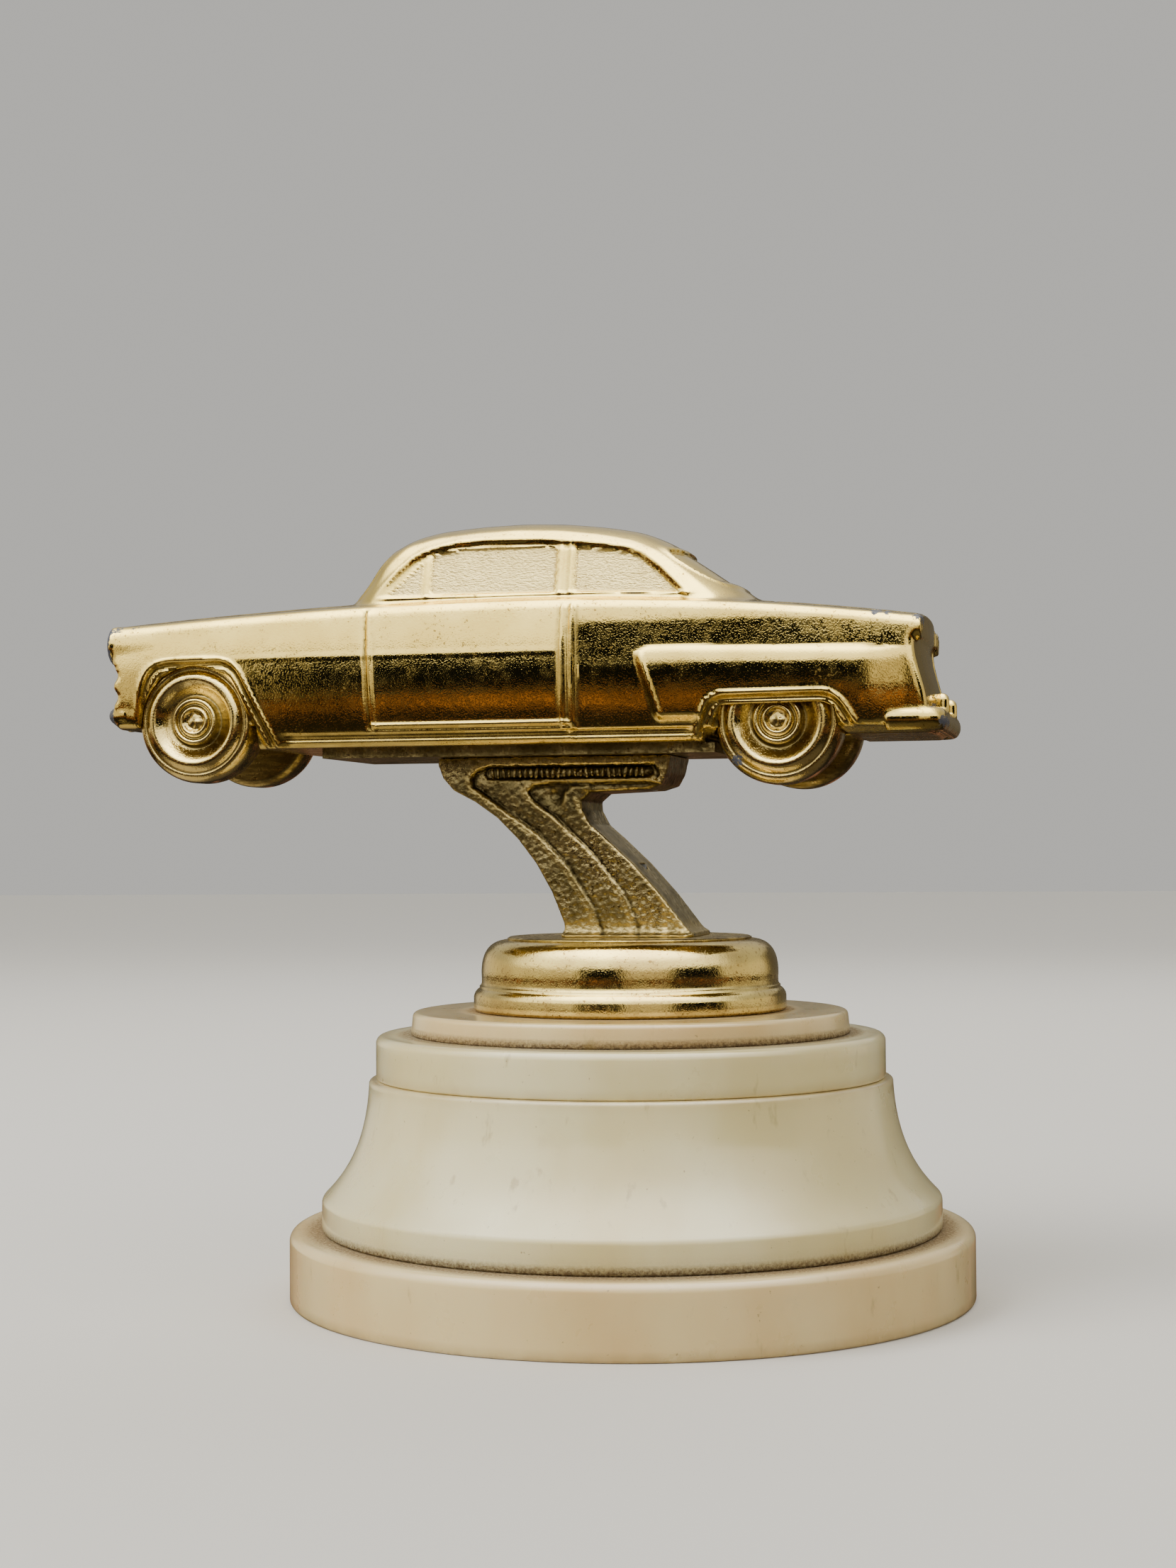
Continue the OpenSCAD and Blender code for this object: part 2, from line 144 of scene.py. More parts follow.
def to_segments(px, pz, outline, closed):
    """Distance to the nearest segment of an outline."""
    pts = np.array(outline, float)
    ends = np.roll(pts, -1, axis=0) if closed else pts[1:]
    starts = pts if closed else pts[:-1]
    best = np.full(px.shape, 1e9)
    for (ax, az), (bx, bz) in zip(starts, ends):
        ex, ez = bx - ax, bz - az
        length = max(ex * ex + ez * ez, 1e-9)
        t = np.clip(((px - ax) * ex + (pz - az) * ez) / length, 0.0, 1.0)
        best = np.minimum(best, (px - ax - t * ex) ** 2 + (pz - az - t * ez) ** 2)
    return np.sqrt(best)


def inside_sign(px, pz, outline):
    """True where a point lies inside a closed outline."""
    pts = np.array(outline, float)
    inside = np.zeros(px.shape, bool)
    for (ax, az), (bx, bz) in zip(pts, np.roll(pts, -1, axis=0)):
        crosses = (az > pz) != (bz > pz)
        if az != bz:
            inside ^= crosses & (px < (bx - ax) * (pz - az) / (bz - az) + ax)
    return inside


def outline_field(px, pz, outline):
    """Signed distance to a closed outline, negative inside."""
    d = to_segments(px, pz, outline, True)
    return np.where(inside_sign(px, pz, outline), -d, d)


def lattice_noise(x, y, z, size, seed):
    """Smooth noise from -1 to 1 on a lattice of one size."""
    rng = np.random.default_rng(seed)
    table = rng.uniform(-1.0, 1.0, (32, 32, 32))
    total = 0.0
    p = [x / size + 7.3, y / size + 3.1, z / size + 5.7]
    cell = [np.floor(v).astype(int) for v in p]
    frac = [v - c for v, c in zip(p, cell)]
    frac = [f * f * (3.0 - 2.0 * f) for f in frac]
    for corner in range(8):
        bits = [(corner >> k) & 1 for k in range(3)]
        weight = 1.0
        for f, bit in zip(frac, bits):
            weight = weight * (f if bit else 1.0 - f)
        index = [(c + bit) % 32 for c, bit in zip(cell, bits)]
        total = total + weight * table[index[0], index[1], index[2]]
    return total


# ---------------------------------------------------------------- meshes

def make_object(name, points, faces, material, normals=None, values=None):
    """A mesh object from points in millimetres, with faces outwards and its values as attributes."""
    mesh = bpy.data.meshes.new(name)
    mesh.from_pydata((np.asarray(points, float) * MM).tolist(), [], faces)
    mesh.update()
    for key, data in (values or {}).items():
        layer = mesh.attributes.new(key, "FLOAT", "POINT")
        layer.data.foreach_set("value", np.asarray(data, np.float32))
    mesh.polygons.foreach_set("use_smooth", [True] * len(mesh.polygons))
    if normals is not None:
        mesh.normals_split_custom_set_from_vertices(normals.tolist())
    mesh.materials.append(material)
    obj = bpy.data.objects.new(name, mesh)
    bpy.context.scene.collection.objects.link(obj)
    return obj


def enter(obj, body, node=None):
    """Attach a piece to the empty of the body that carries it, and hide the CAD node it stands for."""
    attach(obj, body)
    if node:
        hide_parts(node)


def turned(profile, turns=TURNS):
    """Points and faces of a profile of (radius, height) pairs turned about Z; it runs with the
    solid on its left, and closes on itself or on the axis."""
    angles = np.arange(turns) * 2 * math.pi / turns
    points = []
    rings = []
    for r, z in profile:
        if r < 1e-6:
            rings.append([len(points)] * turns)
            points.append((0.0, 0.0, z))
        else:
            first = len(points)
            points.extend((r * math.cos(a), r * math.sin(a), z) for a in angles)
            rings.append(list(range(first, first + turns)))
    faces = []
    on_axis = profile[0][0] < 1e-6
    pairs = len(rings) - 1 if on_axis else len(rings)
    for i in range(pairs):
        lower, upper = rings[i], rings[(i + 1) % len(rings)]
        for j in range(turns):
            k = (j + 1) % turns
            face = tuple(dict.fromkeys((lower[j], lower[k], upper[k], upper[j])))
            if len(face) > 2:
                faces.append(face)
    return np.array(points), faces


def arc(cx, cy, r, start, end, steps=8):
    """Points of an arc, by its centre, radius and angles in degrees."""
    return [(cx + r * math.cos(math.radians(a)), cy + r * math.sin(math.radians(a)))
            for a in np.linspace(start, end, steps + 1)]


def curve(p, steps=12):
    """Points of a cubic curve through its four control points."""
    a, b, c, d = (np.array(v, float) for v in p)
    ts = np.linspace(0.0, 1.0, steps + 1)
    return [tuple((1 - t) ** 3 * a + 3 * t * (1 - t) ** 2 * b + 3 * t * t * (1 - t) * c
                  + t ** 3 * d) for t in ts]


def refine(profile, longest=1.5):
    """The profile with its long stretches divided, so that a bend or a value has points to use."""
    out = []
    for i, (r, z) in enumerate(profile):
        r2, z2 = profile[(i + 1) % len(profile)]
        parts = max(1, math.ceil(math.hypot(r2 - r, z2 - z) / longest))
        if i == len(profile) - 1 and profile[0][0] < 1e-6:
            parts = 1
        for k in range(parts):
            t = k / parts
            out.append((r + (r2 - r) * t, z + (z2 - z) * t))
    return out


def field_mesh(field, low, high, cell, rounds=3):
    """Points, faces and normals of the surface where a field of distance is zero."""
    axes = [np.arange(lo - 3 * cell, hi + 4 * cell, cell) for lo, hi in zip(low, high)]
    values = np.empty([len(a) for a in axes], np.float32)
    slab = 24
    for i in range(0, len(axes[0]), slab):
        x, y, z = np.meshgrid(axes[0][i:i + slab], axes[1], axes[2], indexing="ij")
        values[i:i + slab] = field(x, y, z)
    grid = openvdb.FloatGrid(3.0 * cell)
    grid.copyFromArray(np.clip(values, -3.0 * cell, 3.0 * cell))
    points, quads = grid.convertToQuads(0.0)
    points = np.asarray(points, float) * cell + np.array([a[0] for a in axes])
    for _ in range(rounds):
        slope = gradient(field, points, 0.05)
        length = np.maximum(np.sum(slope * slope, axis=1), 0.05)
        move = slope * (field(*points.T) / length)[:, None]
        reach = np.linalg.norm(move, axis=1, keepdims=True)
        points -= move * np.minimum(1.0, 0.5 * cell / np.maximum(reach, 1e-9))
    slope = gradient(field, points, 0.08)
    normals = slope / np.maximum(np.linalg.norm(slope, axis=1, keepdims=True), 1e-9)
    faces = np.asarray(quads)
    a, b, c, d = (points[faces[:, k]] for k in range(4))
    middle = (a + b + c + d) / 4.0
    if np.einsum("ij,ij->i", middle, np.cross(c - a, d - b)).sum() < 0.0:
        faces = faces[:, ::-1]
    return points, faces, normals


def gradient(field, points, h):
    """The slope of a field at each point."""
    x, y, z = points.T
    return np.stack([field(x + h, y, z) - field(x - h, y, z),
                     field(x, y + h, z) - field(x, y - h, z),
                     field(x, y, z + h) - field(x, y, z - h)], axis=1) / (2 * h)


def bend(field, points, h):
    """How sharply the surface bends at each point: above 0 on an edge, below 0 in a corner."""
    x, y, z = points.T
    total = -6.0 * field(x, y, z)
    for dx, dy, dz in ((h, 0, 0), (0, h, 0), (0, 0, h)):
        total = total + field(x + dx, y + dy, z + dz) + field(x - dx, y - dy, z - dz)
    return total / (h * h)


def outward(points, faces):
    """The faces, turned over if they enclose a negative volume."""
    triangles = [f[:3] for f in faces] + [(f[0], f[2], f[3]) for f in faces if len(f) > 3]
    a, b, c = np.swapaxes(points[np.array(triangles)], 0, 1)
    volume = np.sum(a * np.cross(b, c))
    return faces if volume > 0 else [tuple(reversed(f)) for f in faces]


# ---------------------------------------------------------------- materials

def linear(hex_colour):
    """An sRGB hex colour as linear RGBA."""
    parts = [int(hex_colour[i:i + 2], 16) / 255 for i in (1, 3, 5)]
    return [c / 12.92 if c <= 0.04045 else ((c + 0.055) / 1.055) ** 2.4 for c in parts] + [1.0]


def new_material(name):
    """An empty material with an output, its shader and object coordinates in millimetres."""
    mat = bpy.data.materials.new(name)
    mat.use_nodes = True
    tree = mat.node_tree
    tree.nodes.clear()
    out = tree.nodes.new("ShaderNodeOutputMaterial")
    shader = tree.nodes.new("ShaderNodeBsdfPrincipled")
    tree.links.new(shader.outputs["BSDF"], out.inputs["Surface"])
    place = tree.nodes.new("ShaderNodeTexCoord")
    scale = add(tree, "ShaderNodeVectorMath", {"operation": "SCALE"},
                {0: place.outputs["Object"], "Scale": 1000.0})
    return mat, tree, shader, scale.outputs["Vector"]


def add(tree, kind, settings=None, links=None):
    """A node of one kind, with its settings, and each input linked or set."""
    node = tree.nodes.new(kind)
    for key, value in (settings or {}).items():
        setattr(node, key, value)
    for key, value in (links or {}).items():
        if isinstance(value, bpy.types.NodeSocket):
            tree.links.new(value, node.inputs[key])
        else:
            node.inputs[key].default_value = value
    return node


def grain(tree, where, size, detail=4.0, rough=0.55, stretch=(1.0, 1.0, 1.0)):
    """Noise whose largest features are about one size across, in millimetres."""
    shape = add(tree, "ShaderNodeMapping", {}, {"Vector": where, "Scale": stretch})
    return add(tree, "ShaderNodeTexNoise", {},
               {"Vector": shape.outputs["Vector"], "Scale": 1.0 / size, "Detail": detail,
                "Roughness": rough}).outputs["Fac"]


def ramp(tree, value, start, end, low=0.0, high=1.0):
    """A value remapped from start..end to low..high, and held there."""
    node = add(tree, "ShaderNodeMapRange", {"interpolation_type": "SMOOTHSTEP"},
               {"Value": value, "From Min": start, "From Max": end, "To Min": low,
                "To Max": high})
    return node.outputs["Result"]


def mix(tree, factor, a, b):
    """Two colours mixed by a factor."""
    node = add(tree, "ShaderNodeMix", {"data_type": "RGBA"}, {"Factor": factor, 6: a, 7: b})
    return node.outputs[2]


def maths(tree, operation, a, b, clamp=False):
    """One sum on two values."""
    node = add(tree, "ShaderNodeMath", {"operation": operation, "use_clamp": clamp},
               {0: a, 1: b})
    return node.outputs["Value"]


def times(tree, a, b, clamp=False):
    """The product of two values."""
    return maths(tree, "MULTIPLY", a, b, clamp)


def plus(tree, a, b, clamp=False):
    """The sum of two values."""
    return maths(tree, "ADD", a, b, clamp)


def tint(tree, colour, factor, hex_colour):
    """A colour covered by another, by a factor."""
    return mix(tree, factor, colour, linear(hex_colour))


def attribute(tree, name):
    """A value stored on the mesh's points."""
    return add(tree, "ShaderNodeAttribute", {"attribute_name": name}).outputs["Fac"]


def bumps(tree, height, depth, over=None):
    """A bump of a depth in millimetres."""
    links = {"Height": height, "Distance": depth * MM, "Strength": 1.0}
    if over is not None:
        links["Normal"] = over
    return add(tree, "ShaderNodeBump", {}, links).outputs["Normal"]


def gold_plate(name, bright, deep, smoothness, pit_depth, unevenness, tarnish_and_shade):
    """Gold-tone plate on a zinc casting. It was polished before plating, so it mirrors its
    surroundings, with fine pits, brown tarnish and painted shade in the corners, and chips on the edges."""
    mat, tree, shader, where = new_material(name)
    cloud = grain(tree, where, 9.0, 5.0)
    specks = grain(tree, where, 0.5, 3.0, 0.6)
    streak = grain(tree, where, 1.2, 4.0, 0.65, (0.25, 1.0, 1.6))
    colour = mix(tree, ramp(tree, cloud, 0.35, 0.68), linear(bright), linear(deep))
    # brown specks and stains, more of them where the plate is clouded
    gather = plus(tree, ramp(tree, grain(tree, where, 4.5, 3.0), 0.48, 0.66),
                  times(tree, attribute(tree, "freckle"), 0.75), True)
    stain_and_shade = times(tree, ramp(tree, specks, 0.58, 0.66), gather)
    colour = tint(tree, colour, times(tree, stain_and_shade, 0.7), "#6b4a1e")
    # tarnish that polishing left in the corners, and painted shade in the hollows and underneath
    ragged = times(tree, attribute(tree, "corner"), ramp(tree, streak, 0.3, 0.6, 0.55, 1.25))
    colour = tint(tree, colour, times(tree, ragged, tarnish_and_shade, True), "#2e1c0a")
    # chips down to the slate-grey casting
    chip = plus(tree, attribute(tree, "chip"), ramp(tree, specks, 0.25, 0.75, -0.32, 0.32))
    chip = ramp(tree, chip, 0.46, 0.54)
    colour = tint(tree, colour, chip, "#42444d")
    glass = attribute(tree, "frost")
    colour = tint(tree, colour, times(tree, glass, 0.75), "#e9d597")
    tree.links.new(colour, shader.inputs["Base Color"])
    metal = maths(tree, "SUBTRACT", 1.0, times(tree, chip, 0.85))
    metal = maths(tree, "SUBTRACT", metal, times(tree, glass, 0.25), True)
    tree.links.new(metal, shader.inputs["Metallic"])
    rough = ramp(tree, grain(tree, where, 2.2, 5.0, 0.6), 0.35, 0.7, smoothness,
                 smoothness + 0.12)
    for mark, share in ((ragged, 0.25), (stain_and_shade, 0.3), (chip, 0.3), (glass, 0.33)):
        rough = plus(tree, rough, times(tree, mark, share), mark is glass)
    tree.links.new(rough, shader.inputs["Roughness"])
    normal = bumps(tree, ramp(tree, grain(tree, where, 0.3, 2.0, 0.5), 0.3, 0.55), pit_depth)
    normal = bumps(tree, grain(tree, where, 1.5, 3.0, 0.55), unevenness, normal)
    # the frosted panels of the windows are a fine stipple, brushed along the car
    stipple = times(tree, grain(tree, where, 0.4, 2.0, 0.6, (0.6, 1.0, 1.3)), glass)
    tree.links.new(bumps(tree, stipple, 0.3, normal), shader.inputs["Normal"])
    return mat


def cast_gold(name, base, dark, roughness, depth):
    """Gold-tone plate on an as-cast surface that was never polished: small dents as if hammered,
    a sandy texture with dull olive-brown tarnish, a painted highlight on its edges where it stands highest,
    and painted shade in its corners."""
    mat, tree, shader, where = new_material(name)
    cloud = grain(tree, where, 6.0, 5.0)
    sand = grain(tree, where, 0.7, 4.0, 0.65)
    colour = mix(tree, ramp(tree, cloud, 0.35, 0.68), linear(base), linear(dark))
    colour = tint(tree, colour, ramp(tree, sand, 0.56, 0.7), "#3a2a0e")
    # painted highlight: edges, the worn ribs and a band above the foot are tinted lighter, partly as wear on
    # the ribs
    colour = tint(tree, colour, times(tree, attribute(tree, "edge"), 0.55, True), "#d8c07c")
    # painted shade in the corners, under the ribs and along the foot
    colour = tint(tree, colour, times(tree, attribute(tree, "corner"), 0.85, True), "#1d1408")
    tree.links.new(colour, shader.inputs["Base Color"])
    shader.inputs["Metallic"].default_value = 1.0
    rough = ramp(tree, cloud, 0.3, 0.7, roughness, roughness + 0.16)
    tree.links.new(rough, shader.inputs["Roughness"])
    hammered = add(tree, "ShaderNodeTexVoronoi", {"feature": "SMOOTH_F1"},
                   {"Vector": where, "Scale": 1.0 / 0.9, "Smoothness": 0.6})
    normal = bumps(tree, hammered.outputs["Distance"], depth * 1.6)
    normal = bumps(tree, sand, depth, normal)
    tree.links.new(bumps(tree, grain(tree, where, 0.28, 2.0), depth * 0.5, normal),
                   shader.inputs["Normal"])
    return mat


def moulded_ivory(name, base, warm):
    """Old moulded thermoset, such as urea resin, buffed on the wheel: a waxy dull polish that
    lets a little light in, faint flow marks, yellowed patches, dust in the corners, and painted shade along
    the joints and the foot's bottom edge."""
    mat, tree, shader, where = new_material(name)
    flow = grain(tree, where, 26.0, 4.0, 0.5, (1.0, 1.0, 0.45))
    blotch = grain(tree, where, 7.0, 4.0, 0.6)
    colour = mix(tree, ramp(tree, flow, 0.35, 0.68), linear(base), linear(warm))
    colour = tint(tree, colour, ramp(tree, blotch, 0.6, 0.78, 0.0, 0.35), "#cdbb8c")
    fleck = grain(tree, where, 0.8, 2.0, 0.5)
    colour = tint(tree, colour, ramp(tree, fleck, 0.73, 0.78, 0.0, 0.6), "#8c7148")
    ragged = ramp(tree, grain(tree, where, 0.5, 5.0, 0.7), 0.3, 0.7, 0.5, 1.4)
    dust = times(tree, attribute(tree, "dust"), ragged, True)
    colour = tint(tree, colour, times(tree, dust, 0.9), "#6f5c48")
    # thin runs and smears of brown, where drink or polish dried on the sides
    runs = ramp(tree, grain(tree, where, 3.2, 4.0, 0.6, (1.0, 1.0, 0.35)), 0.62, 0.74, 0.0, 0.5)
    colour = tint(tree, colour, runs, "#a5905e")
    # painted shade: a brown line along each joint between pieces and at the foot's bottom edge
    stain_and_shade = times(tree, attribute(tree, "stain_and_shade"),
                  ramp(tree, grain(tree, where, 5.0, 4.0), 0.3, 0.65, 0.35, 0.75), True)
    colour = tint(tree, colour, stain_and_shade, "#9a7a4a")
    tree.links.new(colour, shader.inputs["Base Color"])
    rough = ramp(tree, blotch, 0.3, 0.7, 0.26, 0.4)
    rough = plus(tree, rough, times(tree, dust, 0.6), True)
    tree.links.new(rough, shader.inputs["Roughness"])
    shader.inputs["IOR"].default_value = 1.55
    # dust takes the shine off what it lies on
    clean = maths(tree, "SUBTRACT", 1.0, dust, True)
    tree.links.new(clean, shader.inputs["Coat Weight"])
    tree.links.new(times(tree, clean, 0.5), shader.inputs["Specular IOR Level"])
    shader.inputs["Coat Roughness"].default_value = 0.12
    shader.inputs["Subsurface Weight"].default_value = 0.35
    shader.inputs["Subsurface Radius"].default_value = (1.0, 0.75, 0.45)
    shader.inputs["Subsurface Scale"].default_value = 2.5 * MM
    normal = bumps(tree, grain(tree, where, 0.5, 2.0, 0.5, (1.0, 1.0, 3.0)), 0.008)
    normal = bumps(tree, grain(tree, where, 9.0, 2.0, 0.4), 0.08, normal)
    fluff = times(tree, dust, grain(tree, where, 0.35, 2.0))
    tree.links.new(bumps(tree, fluff, 0.2, normal), shader.inputs["Normal"])
    return mat


def plain_steel(name):
    """Turned and cut mild steel fastenings, bare, with faint turning marks and a grey film."""
    mat, tree, shader, where = new_material(name)
    cloud = grain(tree, where, 3.0, 4.0)
    colour = mix(tree, ramp(tree, cloud, 0.35, 0.7), linear("#8f9092"), linear("#6a675f"))
    tree.links.new(colour, shader.inputs["Base Color"])
    shader.inputs["Metallic"].default_value = 1.0
    tree.links.new(ramp(tree, cloud, 0.3, 0.7, 0.3, 0.5), shader.inputs["Roughness"])
    tree.links.new(bumps(tree, grain(tree, where, 0.3, 2.0, 0.5, (1.0, 1.0, 4.0)), 0.01),
                   shader.inputs["Normal"])
    return mat


POLISHED = gold_plate("polished_gold_plate_on_zinc", "#f5da80", "#e4c870", 0.05, 0.006, 0.02, 0.6)
WHEEL_GOLD = gold_plate("wheel_gold_plate_on_zinc", "#efd88c", "#cfb774", 0.1, 0.01, 0.03, 0.75)
FLANGE_GOLD = gold_plate("turned_flange_gold_plate", "#f0d988", "#cfb674", 0.08, 0.007, 0.02, 0.75)
ROUGH_GOLD = cast_gold("as_cast_gold_plate", "#a5966a", "#6a6040", 0.24, 0.12)
IVORY = moulded_ivory("moulded_ivory_urea", "#e6d09a", "#dbbd82")
IVORY_BELL = moulded_ivory("moulded_ivory_urea_cool", "#e6dcae", "#d9c990")
STEEL = plain_steel("bare_mild_steel")


# ---------------------------------------------------------------- stand

def turned_piece(name, profile, material, body, node, marks):
    """A round piece that takes the place of a CAD node, with marks given by radius and height."""
    points, faces = turned(refine(profile))
    faces = outward(points, faces)
    radius = np.hypot(points[:, 0], points[:, 1])
    values = {key: mark(radius, points[:, 2]) for key, mark in marks.items()}
    enter(make_object(name, points, faces, material, None, values), body, node)


def near(r0, z0, reach, full=1.0):
    """A mark that is full at one radius and height, and fades out over a reach."""
    return lambda r, z: full * np.exp(-((r - r0) ** 2 + (z - z0) ** 2) / reach ** 2)


def shelf(r_out, r_in, z):
    """A flat shelf, in steps fine enough to carry the dust that thins out across it."""
    return [(r, z) for r in np.linspace(r_out, r_in, 22)][1:]


def shelf_dust(r0, z0, reach):
    """Dust that lies on a shelf against the wall at one radius, and thins out over a reach."""
    return lambda r, z: np.exp(-(np.maximum(r - r0, 0.0) / reach) ** 3) * (z > z0 - 0.15)


BELL_R = bell_high[0]
COLLAR_R = collar_high[0]
DISC_R = disc_high[0]
FLANGE_R = flange_high[0]
FOOT_RIM = 8.0           # width of the rim that the foot stands on
RECESS = 8.2             # depth of the recess under the foot
BELL_WALL = 3.0
BELL_BAND = 4.2          # height of the straight band at the bottom of the bell
BELL_TOP_R = 43.95
SPIGOT_H = 1.5           # height of the spigots that centre one piece of the stand on another
SPIGOT_PLAY = 0.15


def make_foot():
    """Plinth: rounded top edge, relieved bottom edge, recess and locating rim."""
    edge = 1.5
    rim_r = BELL_R - BELL_WALL - SPIGOT_PLAY
    profile = ([(hole_r, RECESS), (foot_r - FOOT_RIM, RECESS)]
               + [(foot_r - FOOT_RIM, 0.4), (foot_r - FOOT_RIM + 0.4, 0.0)]
               + [(foot_r - 0.6, 0.0)] + arc(foot_r - 0.6, 0.6, 0.6, -90, 0, 5)
               + arc(foot_r - edge, foot_top - edge, edge, 0, 90, 10)
               + shelf(foot_r - edge, rim_r, foot_top) + [(rim_r, foot_top + SPIGOT_H),
                  (rim_r - BELL_WALL, foot_top + SPIGOT_H), (rim_r - BELL_WALL, foot_top),
                  (hole_r, foot_top)])
    # the brown line along the foot's bottom edge is painted shade
    turned_piece("ivory_foot", profile, IVORY, "base", "foot",
                 {"dust": shelf_dust(BELL_R, foot_top, 3.3), "stain_and_shade": near(foot_r, 0.2, 0.8, 0.7)})


def make_bell():
    """Flared shell: straight band, round shoulder, hollow flare and top deck."""
    z0, z1 = foot_top, bell_top
    shoulder = 1.5
    outside = ([(BELL_R - 0.4, z0), (BELL_R, z0 + 0.4)]
               + arc(BELL_R - shoulder, z0 + BELL_BAND + 0.3, shoulder, 0, 40, 8)
               + curve([(BELL_R - shoulder + 1.15, z0 + BELL_BAND + 1.27),
                        (BELL_R - 4.6, z0 + 9.6), (BELL_TOP_R + 0.5, z0 + 15.0),
                        (BELL_TOP_R, z1 - 1.0)], 24)[1:]
               + arc(BELL_TOP_R - 0.7, z1 - 0.7, 0.7, 10, 90, 5))
    spigot = 30.0 - SPIGOT_PLAY
    inside = [(r - BELL_WALL, min(z, z1 - 3.0)) for r, z in outside[2:]]
    inside = [p for i, p in enumerate(inside) if i == 0 or p[1] < z1 - 3.0 - 1e-6]
    profile = ([(BELL_R - BELL_WALL, z0)] + outside + [(spigot, z1), (spigot, z1 + SPIGOT_H),
               (hole_r, z1 + SPIGOT_H), (hole_r, z1 - 3.0), (inside[-1][0], z1 - 3.0)]
               + inside[::-1])
    # the brown line on the deck under the collar is painted shade
    turned_piece("ivory_bell", profile, IVORY_BELL, "base", "bell",
                 {"dust": near(BELL_R, z0, 1.2), "stain_and_shade": near(COLLAR_R + 0.4, z1, 0.9)})


def make_collar():
    """Ring over the bell, with rounded edges and a spigot for the disc above."""
    z0, z1 = bell_top, collar_top
    profile = ([(30.0, z0 + SPIGOT_H + SPIGOT_PLAY), (30.0, z0)]
               + arc(COLLAR_R - 0.5, z0 + 0.5, 0.5, -90, 0, 4)
               + arc(COLLAR_R - 1.3, z1 - 1.3, 1.3, 0, 90, 10)
               + shelf(COLLAR_R - 1.3, DISC_R - 1.0, z1)
               + [(20.0 - SPIGOT_PLAY, z1), (20.0 - SPIGOT_PLAY, z1 + SPIGOT_H), (hole_r, z1 + SPIGOT_H),
                  (hole_r, z0 + SPIGOT_H + SPIGOT_PLAY)])
    # the brown line at the collar's lower edge is painted shade
    turned_piece("ivory_collar_ring", profile, IVORY_BELL, "base", "collar_ring",
                 {"dust": shelf_dust(DISC_R, z1, 2.9), "stain_and_shade": near(COLLAR_R - 1.0, z0, 0.9)})


def make_disc():
    """Low disc that the flange stands on."""
    z0, z1 = collar_top, disc_top
    on_top = shelf_dust(FLANGE_R, z1, 1.9)
    at_foot = near(DISC_R, z0, 1.0)
    profile = ([(20.0, z0 + SPIGOT_H + SPIGOT_PLAY), (20.0, z0), (DISC_R - 0.2, z0)]
               + [(DISC_R, z0 + 0.2)] + arc(DISC_R - 1.1, z1 - 0.8, 0.8, 0, 90, 8)
               + shelf(DISC_R - 1.1, FLANGE_R - 1.0, z1)
               + [(hole_r, z1), (hole_r, z0 + SPIGOT_H + SPIGOT_PLAY)])
    # the brown line where the flange stands is painted shade
    turned_piece("ivory_top_disc", profile, IVORY, "base", "top_disc",
                 {"dust": lambda r, z: np.minimum(on_top(r, z) + at_foot(r, z), 1.0),
                  "stain_and_shade": near(FLANGE_R, z1, 0.6)})


make_foot()
make_bell()
make_collar()
make_disc()


# ---------------------------------------------------------------- flange

def make_flange():
    """Hollow domed flange: rounded band, groove, dome and a flat top for the strut."""
    z0, top = disc_top, flange_top
    band = 4.6
    r = FLANGE_R
    dome_r = r - 1.25
    outside = ([(r - 0.7, z0)] + arc(r - 0.6, z0 + 0.6, 0.6, -60, -8, 4)
               + arc(r - 1.9, z0 + 2.2, 1.9, 4, 62, 10)
               + arc(dome_r + 0.75, z0 + band + 0.3, 0.85, 236, 176, 6)
               + curve([(dome_r - 0.1, z0 + band + 0.9), (dome_r + 0.15, z0 + band + 4.6),
                        (dome_r - 1.0, z0 + band + 7.2), (dome_r - 4.4, top - 0.5)], 24)
               + arc(dome_r - 4.75, top - 0.2, 0.3, -70, -10, 3)
               + [(dome_r - 4.9, top)])
    wall = 2.4
    inside = [(max(q[0] - wall, hole_r + 1), min(q[1], top - wall - 0.4)) for q in outside]
    inside = [q for i, q in enumerate(inside) if q[1] < top - wall - 0.4 - 1e-6]
    profile = (outside + [(bore_r, top), (bore_r, top - wall - 0.4),
               (inside[-1][0], top - wall - 0.4)] + inside[::-1])
    groove = near(dome_r, z0 + band, 0.6, 0.4)
    step_ring = near(dome_r - 4.7, top - 0.2, 0.5, 0.8)
    low_edge = near(r - 0.7, z0, 0.6, 0.6)

    def corner(rr, z):
        """Tarnish with painted shade in the groove, at the step and along the low edge, and a film of
        tarnish on the flat top.
        """
        marks = groove(rr, z) + step_ring(rr, z) + low_edge(rr, z)
        return np.clip(marks + 0.45 * (z > top - 0.25), 0.0, 1.0)

    def freckle(rr, z):
        """Brown freckles everywhere, and most of them high on the dome."""
        return 0.5 + 0.5 * step(z0 + band + 4.0, top - 1.0, z)

    turned_piece("gold_flange", profile, FLANGE_GOLD, "figure", "flange",
                 {"corner": corner, "freckle": freckle})


make_flange()


# ---------------------------------------------------------------- wheels

FRONT_HUB = ((wheel_low + wheel_high) / 2)[[0, 2]]
REAR_HUB = (sum(node_box("rear_left_wheel")) / 2)[[0, 2]]
WHEEL_R = (wheel_high[0] - wheel_low[0]) / 2
WHEEL_FACE = -wheel_low[1]      # distance of a wheel's face from the car's middle plane
WHEEL_BACK = -wheel_high[1]
AXLE_R = 1.6


